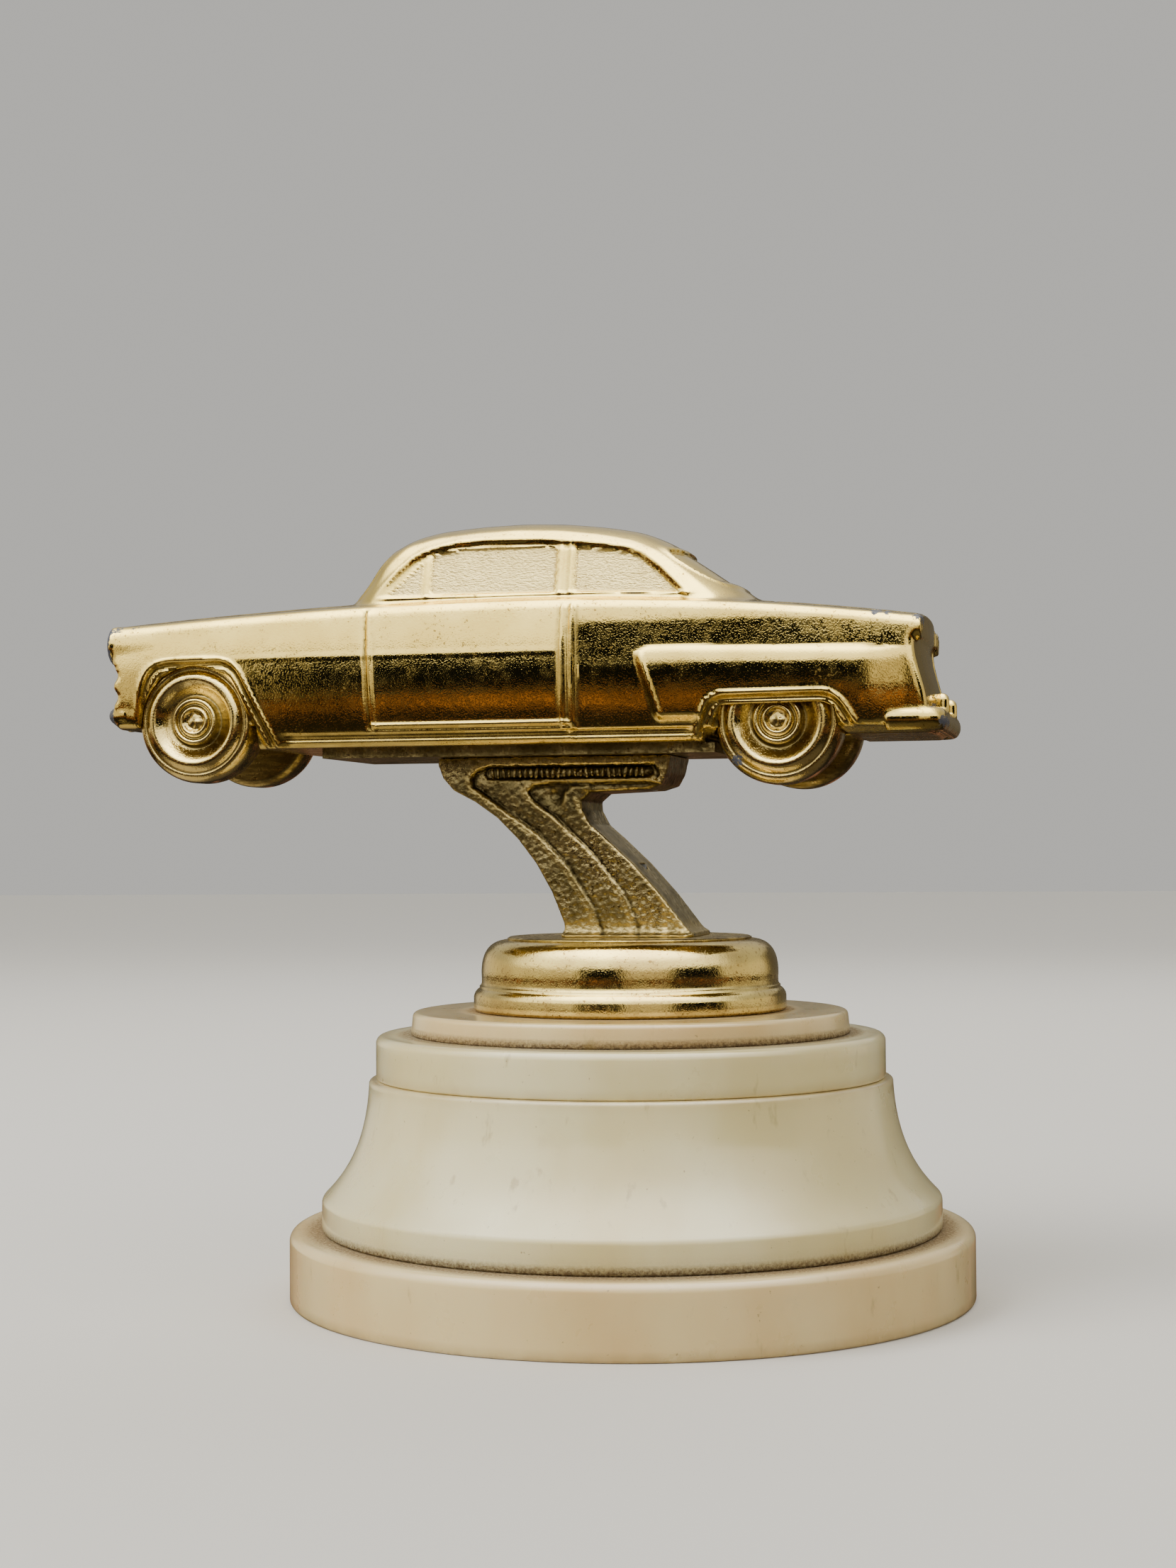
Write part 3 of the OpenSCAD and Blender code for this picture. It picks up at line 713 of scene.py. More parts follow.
def wheel_profile():
    """Wheel, as (radius, distance from the car's middle): hub cap rings, disc, tyre and back."""
    face = WHEEL_FACE
    cap = (curve([(0.0, face - 1.35), (0.7, face - 1.5), (1.3, face - 1.3), (1.85, face - 0.55)], 8)
           + curve([(2.0, face - 0.35), (2.3, face - 0.15), (2.6, face - 0.75),
                    (2.8, face - 1.1)], 5)
           + curve([(3.0, face - 1.1), (3.2, face - 0.35), (3.75, face - 0.3),
                    (4.0, face - 1.0)], 7) + [(4.15, face - 1.7)])
    sidewall = (curve([(4.4, face - 2.0), (5.4, face - 1.9), (6.1, face - 0.5), (7.0, face - 0.02)], 12)
                + curve([(7.2, face), (7.9, face - 0.05), (8.4, face - 0.75),
                         (8.6, face - 1.0)], 8)[1:]
                + [(8.75, face - 1.15), (8.9, face - 1.1)])
    shoulder = curve([(9.05, face - 1.0), (9.9, face - 1.1), (10.25, face - 2.2),
                      (WHEEL_R, face - 3.6)], 8)
    back = (arc(WHEEL_R - 1.6, WHEEL_BACK + 1.6, 1.6, 0, -90, 8)
            + [(AXLE_R, WHEEL_BACK), (AXLE_R, face - 5.0), (0.0, face - 5.0)])
    return cap + sidewall + shoulder + back


def across_car(points, hub, side=1):
    """Points turned about Z, laid on their side at a hub, on one side of the car."""
    return np.stack([hub[0] + points[:, 0], side * points[:, 2], hub[1] + points[:, 1]], axis=1)


def make_wheel(node, hub, side, seed):
    """One cast wheel: turned profile, a dented hub, and wear on the tyre."""
    profile = wheel_profile()
    fine = []
    for (r, d), (r2, d2) in zip(profile, profile[1:]):
        parts = max(1, math.ceil(math.hypot(r2 - r, d2 - d) / 0.35)) if d > WHEEL_BACK + 0.1 else 4
        fine.extend((r + (r2 - r) * k / parts, d + (d2 - d) * k / parts) for k in range(parts))
    fine.append(profile[-1])
    points, faces = turned(fine, WHEEL_TURNS)
    r = np.hypot(points[:, 0], points[:, 1])
    outer = points[:, 2] > WHEEL_FACE - 4.0
    hammer = lattice_noise(*points.T, 0.8, seed)
    swell = lattice_noise(*points.T, 2.6, seed + 1)
    points[:, 2] += outer * (0.22 * hammer * (r < 1.7) + 0.05 * swell * (r < 9.0))
    # the corner value darkens the cap's grooves as tarnish and painted shade, and is painted shade on the
    # wheel's inner side
    grooves = (ridge(r - 2.85, 0.22, 0.7) + ridge(r - 4.3, 0.4, 0.9)
               + ridge(r - 8.8, 0.16, 0.8) + ridge(r, 1.0, 0.4))
    inner = 1.0 - step(WHEEL_BACK + 2.0, WHEEL_FACE - 4.5, points[:, 2])
    corner = np.clip(grooves * outer + 0.8 * inner, 0.0, 1.0)
    worn = np.exp(-((points[:, 0] + 6.6) ** 2 + (points[:, 1] + 6.4) ** 2) / 1.3 ** 2) * outer
    chip = worn * (0.8 if node == "rear_left_wheel" else 0.3)
    place = across_car(points, hub, side)
    obj = make_object("gold_" + node, place, outward(place, faces), WHEEL_GOLD, None,
                      {"corner": corner, "chip": chip, "freckle": np.full_like(r, 0.6)})
    enter(obj, "figure", node)


def make_axle(node, hub):
    """One axle: a plain pin whose ends were peened over inside the hub caps."""
    half = node_box(node)[1][1]
    swell = [(AXLE_R * math.sin(t), half - 0.55 + 0.55 * math.cos(t))
             for t in np.linspace(0.0, math.pi / 2, 9)]
    profile = [(r, -d) for r, d in swell] + [(r, d) for r, d in reversed(swell)]
    points, faces = turned(profile, AXLE_TURNS)
    at_end = np.abs(points[:, 2]) > half - 0.5
    dents = 0.2 * at_end * lattice_noise(*points.T, 0.6, 27)
    points[:, 2] += dents - 0.1 * at_end * np.sign(points[:, 2])
    place = across_car(points, hub)
    # the darkened ends are tarnish and painted shade in the hub's dimple
    obj = make_object("peened_" + node, place, outward(place, faces), WHEEL_GOLD, None,
                      {"corner": 0.35 * at_end})
    enter(obj, "figure", node)


for axle, hub, seeds in (("front", FRONT_HUB, (3, 5)), ("rear", REAR_HUB, (8, 13))):
    make_wheel(axle + "_left_wheel", hub, -1, seeds[0])
    make_wheel(axle + "_right_wheel", hub, 1, seeds[1])
    make_axle(axle + "_axle", hub)


# ---------------------------------------------------------------- car body
# x runs from the nose (-) to the tail (+), a is the distance from the middle plane, and h is
# the height above the sill.

NOSE = body_low[0] + 0.8     # the plated skin ends just inside the casting's envelope
TAIL = body_high[0] - 0.9
WIDEST_H = 11.5          # height at which the side of the car is widest
SIDE_RADIUS = 40.0       # radius of the side's section
PANEL_OUT = 0.85         # how far the rear fender's panel stands out

FRONT_ARCH = rounded([(-81.6, -3.0), (-81.0, 10.0), (-78.6, 15.1), (-63.4, 15.2), (-57.4, 3.4),
                      (-54.4, -3.0)], 3.4, steps=5)
REAR_ARCH = rounded([(13.6, -3.0), (17.1, 7.4), (37.6, 7.7), (42.6, -0.6), (43.0, -3.0)], 3.0,
                    steps=5)
GUTTER = [(-42.4, 24.3), (-39.9, 25.4), (-36.2, 29.2), (-33.7, 31.5), (-31.2, 33.0),
          (-26.3, 34.2), (-21.4, 34.5), (-11.7, 34.3), (-2.1, 33.4), (3.6, 32.5), (6.0, 31.4),
          (9.1, 28.8), (13.6, 24.2)]
VENT_GLASS = rounded([(-37.4, 25.2), (-31.7, 25.2), (-31.6, 30.6)], 0.6)
DOOR_GLASS = rounded([(-30.1, 25.3), (-8.7, 25.0), (-8.7, 32.7), (-18.8, 33.0), (-24.9, 32.9),
                      (-30.1, 32.0)], 0.8)
QUARTER_GLASS = rounded([(-5.5, 25.0), (12.2, 24.4), (8.3, 28.0), (5.2, 30.6), (2.6, 31.5),
                         (-2.0, 32.1), (-5.5, 32.5)], 0.8)


def shoulder(x):
    """Height of the crease along the top of the fenders and doors."""
    ahead = 23.3 - 2.9 * (np.minimum(x + 12.0, 0.0) / 72.0) ** 2
    return ahead - 0.00114 * np.maximum(x + 12.0, 0.0) ** 2


roof_line = soft_line([(-50, 31.0), (-40, 34.0), (-36, 36.0), (-30, 37.3), (-23, 37.85), (-16, 38.05),
                       (-9, 37.75), (-2, 36.95), (4, 35.85), (8.5, 34.0), (12, 31.8), (15.4, 29.5),
                       (20.1, 26.2), (24, 23.5), (30, 20.0), (36, 12.0)], 1.3)
screen_line = soft_line([(20.0, -48.0), (25.4, -45.2), (28.3, -43.2), (30.7, -41.6), (32.2, -40.2),
                         (33.6, -38.6), (35.0, -36.6), (38.0, -31.0)], 0.5)


def side_width(x, h):
    """Half width of the lower body before its beads and panels."""
    taper = (1.7 * (np.maximum(-x - 42.0, 0.0) / 46.0) ** 2.2
             + 1.1 * (np.maximum(x - 18.0, 0.0) / 36.0) ** 2.0)
    door = 20.15 - (h - WIDEST_H) ** 2 / (2 * SIDE_RADIUS)
    upright = 19.6 - 0.035 * (h - 15.0) - 0.035 * np.maximum(h - 19.0, 0.0) ** 2
    upright = np.where(h > 12.0, upright, 19.7 - (h - 12.0) ** 2 / 90.0)
    width = door + (upright - door) * step(-7.0, -4.4, x) * (1.0 - 0.35 * step(20.0, 44.0, x))
    return width - taper


def side_relief(x, h):
    """How far the side stands out or in: door cuts, sill, scoop panel and arch lips."""
    out = np.zeros_like(x)
    # cut and bead at the front of the door
    middle = -40.1 + (22.5 - h) * 0.042
    down = between(h, 2.0, 3.4, 22.2, 23.0)
    out += (ridge(x - middle - 0.4, 0.42, 0.36) - ridge(x - middle + 0.42, 0.36, 0.3)) * down
    # two beads at the rear of the door
    out += (ridge(x + 6.75, 0.4, 0.48) + ridge(x + 5.15, 0.4, 0.48)
            - ridge(x + 4.35, 0.3, 0.12)) * down
    # bead under the door, and the step down to the sill
    under = between(x, -39.8, -39.0, -6.0, -5.2)
    out += (ridge(h - 3.4, 0.34, 0.28) - ridge(h - 2.8, 0.3, 0.16)) * under
    sill = between(x, -56.0, -53.0, 13.0, 16.0)
    out -= 0.55 * (1.0 - step(1.9, 2.5, h)) * sill
    out += (ridge(h - 0.85, 0.28, 0.22) + ridge(h - 1.75, 0.25, 0.12)) * sill
    # faint line along the door and the front fender
    out += ridge(h - 15.1, 0.45, 0.07) * between(x, -66.0, -60.0, -8.0, -7.0)
    # panel of the rear fender
    top = 15.45 - 0.028 * np.maximum(x - 12.0, 0.0) - h
    top = top - ridge(x - 5.0, 1.6, 0.9)
    front = (x - 4.9 - 0.31 * (14.6 - h)) * 0.955
    rise = 1.0 - np.exp(-np.maximum(top, 0.0) / 0.95)
    panel = PANEL_OUT * rise * step(-0.15, 1.25, front)
    panel += ridge(front - 1.0, 0.6, 0.22) * (rise > 0) * rise
    low = step(3.0, 4.4, h)
    low = low + (1.0 - low) * step(14.0, 18.0, x)
    out += panel * low * (1.0 - 0.75 * step(41.0, 50.0, x))
    # lips round the wheel openings
    for arch, hub_x in ((FRONT_ARCH, FRONT_HUB[0]), (REAR_ARCH, REAR_HUB[0])):
        close = np.abs(x - hub_x) < 19.0
        if close.any():
            d = outline_field(x[close], h[close], arch)
            lip = (ridge(d - 0.1, 0.36, 0.24) - 0.85 * (1.0 - step(-0.9, -0.1, d))
                   + ridge(d + 1.6, 0.34, 0.2) - 0.75 * (1.0 - step(-2.7, -1.8, d)))
            out[close] += lip
    return out


def top_height(x, a):
    """Height of the hood, the shoulders and the deck, with their cut lines."""
    crown = 2.35 - 0.6 * step(-30.0, 20.0, x)
    height = shoulder(x) + crown * (1.0 - (np.minimum(a, 20.0) / 19.4) ** 2.4)
    hood = 1.0 - step(-48.0, -46.0, x)
    deck = step(25.0, 28.0, x)
    height += 0.45 * (1.0 - step(3.2, 5.2, a)) * step(-88.0, -80.0, x) * hood
    cut = 13.4 + 0.6 * np.abs(np.sin((x + 40.0) / 45.0))
    height -= ridge(a - cut, 0.3, 0.34) * (hood + deck)
    across = (ridge(x + 47.0, 0.3, 0.34) + ridge(x - 27.0, 0.3, 0.34)) * (a < cut)
    return height - across


def bar(ahead, a, h, middle, half_h, thick, half_w):
    """A bumper bar that wraps round the corners."""
    out = smooth_max(ahead, a - half_w, 5.0)
    return (np.sqrt((out / thick) ** 2 + ((h - middle) / half_h) ** 2) - 1.0) * thick


def lower_body(x, a, h):
    """Field of the body below the windows, without the wheel wells."""
    out = side_relief(x, h)
    side = (a - side_width(x, h) - out) * 0.97
    top = h - top_height(x, a)
    field = smooth_max(side, top, 1.5)
    # nose: brow over the lamps, grille bars and valance
    grille = between(h, 6.0, 7.0, 13.4, 14.6)
    bars = 0.4 * np.cos((h - 11.1) * 2 * math.pi / 3.6) * grille
    ribs = 0.22 * np.cos(a * 2 * math.pi / 2.4) * (bars < 0.1) * (a < 13.0) * grille
    nose_x = NOSE + 1.75 - bars - ribs - 0.6 * step(14.0, 15.2, h)
    nose_x = nose_x + 0.0026 * a * a - 0.4 * step(19.0, 21.0, h)
    field = smooth_max(field, nose_x - x, 1.0)
    # tail: leans back below the deck, with a rebate behind the fender's edge
    tail_x = TAIL - 3.75 + 1.9 * step(15.6, 5.0, h) - 0.004 * a * a + 0.5 * step(15.5, 17.0, h)
    tail_x = tail_x - 0.35 * (1.0 - step(12.5, 13.2, a)) * (h > 6.5)
    field = smooth_max(field, x - tail_x, 1.2)
    lowest = np.where(x < -60.0, 3.9, np.where(x < 16.0, 0.0, 0.9 + 1.2 * step(14.0, 19.0, a)))
    field = smooth_max(field, lowest - h, 0.8)
    # round lamps in the nose
    from_lamp = np.sqrt((a - 15.1) ** 2 + (h - 18.1) ** 2)
    bezel = np.sqrt((from_lamp - 2.75) ** 2 + (x - NOSE - 1.65) ** 2) - 0.62
    barrel = smooth_max(from_lamp - 3.1, np.abs(x - NOSE - 5.2) - 4.0, 0.5)
    field = smooth_min(field, barrel, 0.8)
    bowl = np.sqrt(from_lamp ** 2 + (x - NOSE + 3.0) ** 2) - 4.9
    field = smooth_max(field, -bowl, 0.2)
    lens = np.sqrt(from_lamp ** 2 + (x - NOSE - 6.6) ** 2) - 5.0
    field = np.minimum(field, np.maximum(lens, from_lamp - 2.6))
    field = smooth_min(field, bezel, 0.3)
    # visored lamps at the tail corners
    from_tail = np.sqrt((a - 16.4) ** 2 + (h - 17.4) ** 2)
    visor = smooth_max(from_tail - 2.0, np.abs(x - TAIL + 6.8) - 3.0, 0.6)
    field = smooth_min(field, visor, 0.5)
    field = smooth_max(field, -(np.sqrt(from_tail ** 2 + (x - TAIL + 1.2) ** 2) - 2.9), 0.2)
    glow = np.sqrt(from_tail ** 2 + (x - TAIL + 6.9) ** 2) - 2.6
    field = np.minimum(field, np.maximum(glow, from_tail - 1.5))
    # bumpers and their guards
    front_bar = bar(NOSE + 1.2 - x, a, h, 6.2, 1.4, 1.05, 17.6)
    front_bar = smooth_max(front_bar, x - NOSE - 4.6, 0.4)
    rear_bar = bar(x - TAIL + 1.4, a, h, 3.0, 1.9, 1.3, 17.9)
    rear_bar = smooth_max(rear_bar, TAIL - 9.6 - x, 0.5)
    guard = np.maximum(np.abs(h - np.where(x < 0, 6.9, 4.4)) - 1.9, 0.0)
    guard_x = np.where(x < 0, NOSE + 1.25, TAIL - 1.45)
    guards = np.sqrt((x - guard_x) ** 2 + (a - 8.5) ** 2 + guard ** 2) - 1.2
    valance = np.maximum(np.maximum(bar(NOSE + 2.6 - x, a, h, 6.0, 2.2, 1.9, 16.6), x - NOSE - 6.0),
                         3.9 - h)
    field = smooth_min(field, valance, 0.5)
    field = smooth_min(field, front_bar, 0.25)
    field = smooth_min(field, rear_bar, 0.25)
    return smooth_min(field, guards, 0.2)


def greenhouse(x, a, h):
    """Field of the roof, screens and side windows."""
    width = 16.25 - 0.3 * (h - 24.0)
    width = width - 0.9 * step(14.0, 26.0, x) * (x - 14.0) / 12.0
    side = (a - width) * 0.95
    band = (a > 8.0) & (h > 22.0)
    out = np.zeros_like(x)
    frost = np.zeros_like(x)
    if band.any():
        bx, bh = x[band], h[band]
        rail = to_segments(bx, bh, GUTTER, False)
        below = 1.0 - step(-0.3, 0.3, outline_field(bx, bh, GUTTER + [(13.6, 18.0), (-42.4, 18.0)]))
        under_rail = below * step(-36.0, -31.0, bx)
        relief = ridge(rail, 0.62, 0.45) - ridge(rail - 1.1, 0.4, 0.12) * under_rail
        glass = outline_field(bx, bh, DOOR_GLASS)
        for outline in (VENT_GLASS, QUARTER_GLASS):
            glass = np.minimum(glass, outline_field(bx, bh, outline))
        pane = 1.0 - step(-0.4, 0.16, glass)
        relief -= (0.25 + 0.25 * step(-32.0, -30.5, bx)) * pane
        posts = (ridge(bx + 7.95, 0.42, 0.3) + ridge(bx + 6.25, 0.42, 0.3)
                 + ridge(bx + 30.8, 0.4, 0.22)) * (1.0 - pane)
        relief += posts * between(bh, 24.0, 25.0, 32.4, 33.6) * below
        sill = 24.75 - 0.00045 * np.maximum(bx + 20.0, 0.0) ** 2
        relief += ridge(bh - sill, 0.28, 0.28) * (1.0 - pane) * below
        out[band] = relief
        frost[band] = pane
    side = side - out
    top = (h - roof_line(x) + 3.5 * (np.minimum(a, 17.0) / 14.4) ** 2.7) * 0.85
    screen = (screen_line(h) + 9.6e-5 * np.minimum(a, 17.0) ** 4 - x) * 0.8
    # glazed area of the windscreen and of the rear window
    round_end = np.sqrt(np.maximum(a - 9.6, 0.0) ** 2 + np.maximum(np.abs(h - 29.2) - 1.4, 0.0) ** 2)
    pane = (1.0 - step(2.0, 2.4, round_end)) * (x < -30.0)
    screen = screen + 0.35 * pane - ridge(round_end - 2.75, 0.35, 0.25) * (x < -30.0)
    rear_end = np.sqrt(np.maximum(a - 9.4, 0.0) ** 2 + (h - 29.3) ** 2)
    rear_pane = (1.0 - step(2.4, 2.85, rear_end)) * (x > 5.0)
    top = top + 0.4 * rear_pane - ridge(rear_end - 3.2, 0.4, 0.22) * (x > 5.0)
    field = smooth_max(side, top, 1.1)
    field = smooth_max(field, screen, 1.3)
    field = smooth_max(field, 20.0 - h, 0.5)
    return field, frost


def wheel_wells(x, a, h):
    """Field of the space cut away round the four wheels."""
    cut = np.full(x.shape, 1e3)
    for arch, hub in ((FRONT_ARCH, FRONT_HUB), (REAR_ARCH, REAR_HUB)):
        hub_h = hub[1] - sill_z
        close = (np.abs(x - hub[0]) < 20.0) & (h < 18.0)
        if not close.any():
            continue
        cx, ca, ch = x[close], a[close], h[close]
        # the well follows the tyre's shoulder, so that the fender closes round the wheel
        clear = WHEEL_R + 0.35 - 0.1 * np.clip(ca - WHEEL_FACE + 4.6, 0.0, 3.8) ** 2
        round_well = np.sqrt((cx - hub[0]) ** 2 + (ch - hub_h) ** 2) - clear
        below = np.maximum(np.abs(cx - hub[0]) - clear, ch - hub_h)
        round_well = np.minimum(round_well, below)
        opening = outline_field(cx, ch, arch) + 1.8
        round_well = np.maximum(round_well, np.minimum(ca - WHEEL_FACE - 0.2, opening))
        cut[close] = np.minimum(cut[close], smooth_max(round_well, WHEEL_BACK - 0.5 - ca, 0.8))
    return cut


def body_parts(x, y, z):
    """The body's field, and the mask of the frosted windows."""
    a = np.sqrt(y * y + 0.01)
    h = z - sill_z
    house, frost = greenhouse(x, a, h)
    field = smooth_min(lower_body(x, a, h), house, 1.0)
    field = smooth_max(field, -wheel_wells(x, a, h), 0.35)
    return field, frost * (house < 0.6) * (a > 12.0)


def body_field(x, y, z):
    """The body's field alone."""
    return body_parts(x, y, z)[0]


def chips(points):
    """Where the plate is knocked off the body down to the grey casting."""
    x, y, z = points.T
    a = np.abs(y)
    h = z - sill_z
    left = y < 0
    lamp_rim = (step(NOSE + 1.9, NOSE + 1.3, x) * between(h, 13.0, 14.4, 20.6, 21.4)
                * step(11.4, 12.6, a))
    bumper_end = step(NOSE + 2.6, NOSE + 1.6, x) * (h < 8.2) * step(13.0, 16.0, a)
    hood_edge = (ridge(h - shoulder(x) - 0.4, 0.7) * step(-76.0, -86.0, x)
                 * (0.5 + 0.25 * np.sin(x * 1.9)))
    chip = np.maximum(lamp_rim, np.maximum(bumper_end, hood_edge))
    for cx, ch, reach in ((51.7, 18.9, 1.1), (50.5, 19.3, 0.8), (43.9, 20.2, 0.9), (45.7, 19.9, 0.6),
                          (54.3, 2.6, 0.9), (52.7, 5.2, 0.6)):
        spot = np.exp(-((x - cx) ** 2 + (h - ch) ** 2) / reach ** 2)
        chip = np.maximum(chip, spot * np.where(left, 1.0, 0.5) * (a > 10.0))
    return np.where(left, chip, 0.75 * chip)


def freckles(points):
    """Where brown freckles gather: under the crease of the fenders and on the gutter."""
    x, y, z = points.T
    h = z - sill_z
    under_crease = ridge(h - shoulder(x) + 1.0, 1.1) * (np.abs(y) > 17.0)
    roof_edge = ridge(h - roof_line(x) + 3.2, 1.6) * (np.abs(y) > 10.0) * (h > 26.0)
    return np.clip(under_crease + 0.8 * roof_edge, 0.0, 1.0)


def make_body():
    """The cast and polished car body."""
    cell = 0.52
    points, faces, normals = field_mesh(body_field, body_low - 0.2, body_high + 0.2, cell)
    a = np.abs(points[:, 1])
    h = points[:, 2] - sill_z
    # tarnish and painted shade in the corners, painted shade in the wheel wells and underneath, and darker
    # towards the bottom of the sides
    corner = np.clip(-0.42 * bend(body_field, points, 0.45) - 0.12, 0.0, 1.0)
    corner *= np.where(h > 24.0, 0.55, 1.0)
    in_well = (wheel_wells(points[:, 0], a, h) < 0.3) & (a < WHEEL_FACE - 0.5)
    for mark in (0.85 * in_well, 0.45 * (1.0 - step(2.2, 3.2, h)), 0.6 * step(-0.4, -0.8, normals[:, 2])):
        corner = np.maximum(corner, mark)
    obj = make_object("gold_car_body", points, faces.tolist(), POLISHED, normals,
                      {"corner": corner, "chip": chips(points), "freckle": freckles(points),
                       "frost": body_parts(*points.T)[1]})
    enter(obj, "figure", "car_body")


make_body()


# ---------------------------------------------------------------- strut

STRUT_HALF = strut_high[1]
STRUT_FRONT = [(-9.3, 0.0), (-9.6, 2.4), (-11.6, 7.6), (-14.2, 12.3), (-17.2, 16.3), (-20.8, 20.0),
               (-24.6, 22.7), (-28.4, 24.7), (-30.2, 26.8), (-31.0, 29.0), (-30.9, 30.2)]
STRUT_REAR = [(9.0, 30.2), (8.3, 27.2), (7.2, 25.2), (5.0, 24.5), (-4.6, 24.1), (-6.3, 22.7),
              (-6.2, 21.2), (-4.9, 18.8), (-2.7, 16.9), (2.2, 12.3), (7.0, 7.0), (10.4, 2.6),
              (12.3, 0.0)]
# edge of the flutes, from the foot up the arm and along the top of the saddle
FLUTE = [(-3.4, -1.0), (-4.9, 4.3), (-9.2, 11.4), (-14.1, 16.8), (-20.9, 21.7), (-25.4, 24.9),
         (-25.8, 26.6), (-24.6, 28.2), (-22.0, 29.0), (6.4, 29.0), (7.3, 27.6), (7.3, -1.0)]
MIDDLE_RIB = [(2.5, -1.0), (1.9, 3.1), (0.3, 7.0), (-5.1, 13.8), (-11.0, 19.5), (-15.0, 22.6), (-15.9, 24.4),
              (-14.6, 25.7), (-11.5, 26.1), (5.2, 26.1), (7.3, 25.6), (14.0, 20.0), (14.0, -1.0)]
REAR_RIB = [(11.4, -1.0), (10.2, 1.6), (5.1, 9.0), (0.9, 13.7), (-3.4, 17.7), (-6.6, 21.3), (-7.4, 23.2)]
CURL = [(-8.9, 22.0), (-8.7, 23.6), (-7.6, 24.6), (-5.4, 24.9)]


def strut_field(x, y, z):
    """Field of the strut: a swept arm with worn ribs and sunk panels on both sides."""
    a = np.sqrt(y * y + 0.01)
    h = z - flange_top
    outline = outline_field(x, h, STRUT_FRONT + STRUT_REAR)
    near_side = a > STRUT_HALF - 4.5
    sunk = np.zeros_like(x)
    if near_side.any():
        nx, nh = x[near_side], h[near_side]
        first = -outline_field(nx, nh, FLUTE)
        second = -outline_field(nx, nh, MIDDLE_RIB)
        last = to_segments(nx, nh, REAR_RIB, False)
        # each flute drops sharply at its front edge and climbs to the next rib
        climb = np.clip(first / np.maximum(first + np.maximum(-second, 0.0), 0.3), 0.0, 1.0)
        depth = 1.35 * step(-0.1, 0.9, first) * (1.0 - 0.85 * climb) * (1.0 - step(-0.4, 0.2, second))
        climb = np.clip(second / np.maximum(second + last, 0.3), 0.0, 1.0)
        depth = depth + np.maximum(0.0, 1.2 * step(-0.1, 0.8, second) * (1.0 - 0.9 * climb))
        # pocket at the top of the rear flute, with a curled bead
        pocket = np.sqrt((nx + 10.6) ** 2 + ((nh - 23.6) * 1.2) ** 2)
        depth = depth + ridge(pocket, 1.8, 1.3)
        curl = ridge(to_segments(nx, nh, CURL, False), 0.75, 1.0)
        depth = depth * (1.0 - 0.85 * curl)
        # long rough panel along the top of the arm
        panel = np.sqrt(np.maximum(np.abs(nx + 8.6) - 13.5, 0.0) ** 2 + (nh - 27.4) ** 2) - 0.95
        depth = depth + 0.55 * (1.0 - step(-0.35, 0.3, panel))
        sunk[near_side] = depth
    side = a - STRUT_HALF + sunk
    rough = 0.1 * lattice_noise(x, y, z, 0.9, 21) + 0.05 * lattice_noise(x, y, z, 0.5, 34)
    rough = rough * (0.8 + 1.5 * np.exp(-(h / 3.5) ** 2))
    field = smooth_max(outline, side + rough, 0.7)
    # the arm is drafted: it narrows a little towards its lower edge
    field = smooth_max(field, (a - STRUT_HALF + 0.04 * (30.0 - h)) * 0.98, 0.5)
    # bead at the foot, where the strut stands on the flange
    foot_line = outline_field(x, np.zeros_like(h) + 1.0, STRUT_FRONT + STRUT_REAR)
    skirt = np.maximum(smooth_max(foot_line - 0.3, a - STRUT_HALF - 0.2, 1.5), h - 0.35)
    field = smooth_min(field, skirt, 1.6)
    field = smooth_max(field, h - (strut_high[2] - flange_top), 0.15)
    field = smooth_max(field, -h, 0.15)
    bore = np.sqrt(x * x + y * y) - bore_r
    return np.maximum(field, -np.maximum(bore, z - rod_top))


def make_strut():
    """The rough cast strut, with worn ribs, a painted highlight on its edges and painted shade below its
    ribs.
    """
    cell = 0.4
    points, faces, normals = field_mesh(strut_field, strut_low - 0.2, strut_high + 0.2, cell)
    sharp = 0.3 * bend(strut_field, points, 0.4)
    x = points[:, 0]
    h = points[:, 2] - flange_top
    # wear has brightened the ribs, with a painted highlight on them, and painted shade lies under them and
    # along the foot
    first = -outline_field(x, h, FLUTE)
    second = -outline_field(x, h, MIDDLE_RIB)
    worn = (ridge(first + 0.3, 0.35) + ridge(second + 0.3, 0.35)
            + ridge(to_segments(x, h, REAR_RIB, False), 0.45))
    rib_and_foot_shade = ridge(first - 1.0, 0.45) + ridge(second - 1.0, 0.45) + 1.5 * (h < 0.5) - 0.8 * worn
    on_side = np.abs(points[:, 1]) > STRUT_HALF - 2.6
    # the edge value is a painted highlight: on sharp edges, in a band just above the foot and along the worn
    # ribs
    edge = sharp - 0.08 + ridge(h - 1.6, 1.1, 0.8) + 0.7 * worn * on_side
    obj = make_object("strut_casting", points, faces.tolist(), ROUGH_GOLD, normals,
                      {"corner": np.clip(-sharp - 0.1 + 0.55 * rib_and_foot_shade * on_side, 0.0, 1.0),
                       "edge": np.clip(edge, 0.0, 1.0)})
    enter(obj, "figure", "strut")


make_strut()


# ---------------------------------------------------------------- repeated shapes

LENGTH = "NodeSocketFloat"


def node_tree(name, inputs):
    """An empty geometry tree with named inputs, and its input and output nodes."""
    tree = bpy.data.node_groups.new(name, "GeometryNodeTree")
    for label, kind in inputs:
        tree.interface.new_socket(label, in_out="INPUT", socket_type=kind)
    tree.interface.new_socket("Geometry", in_out="OUTPUT", socket_type="NodeSocketGeometry")
    given = tree.nodes.new("NodeGroupInput")
    result = tree.nodes.new("NodeGroupOutput")
    return tree, given.outputs, result.inputs["Geometry"]


def finish_tree(tree, shape, material, result):
    """End a tree by making its copies real and giving them their material."""
    real = add(tree, "GeometryNodeRealizeInstances", {}, {"Geometry": shape})
    smooth = add(tree, "GeometryNodeSetShadeSmooth", {}, {"Geometry": real.outputs["Geometry"]})
    dressed = add(tree, "GeometryNodeSetMaterial", {},
                  {"Geometry": smooth.outputs["Geometry"], "Material": material})
    tree.links.new(dressed.outputs["Geometry"], result)


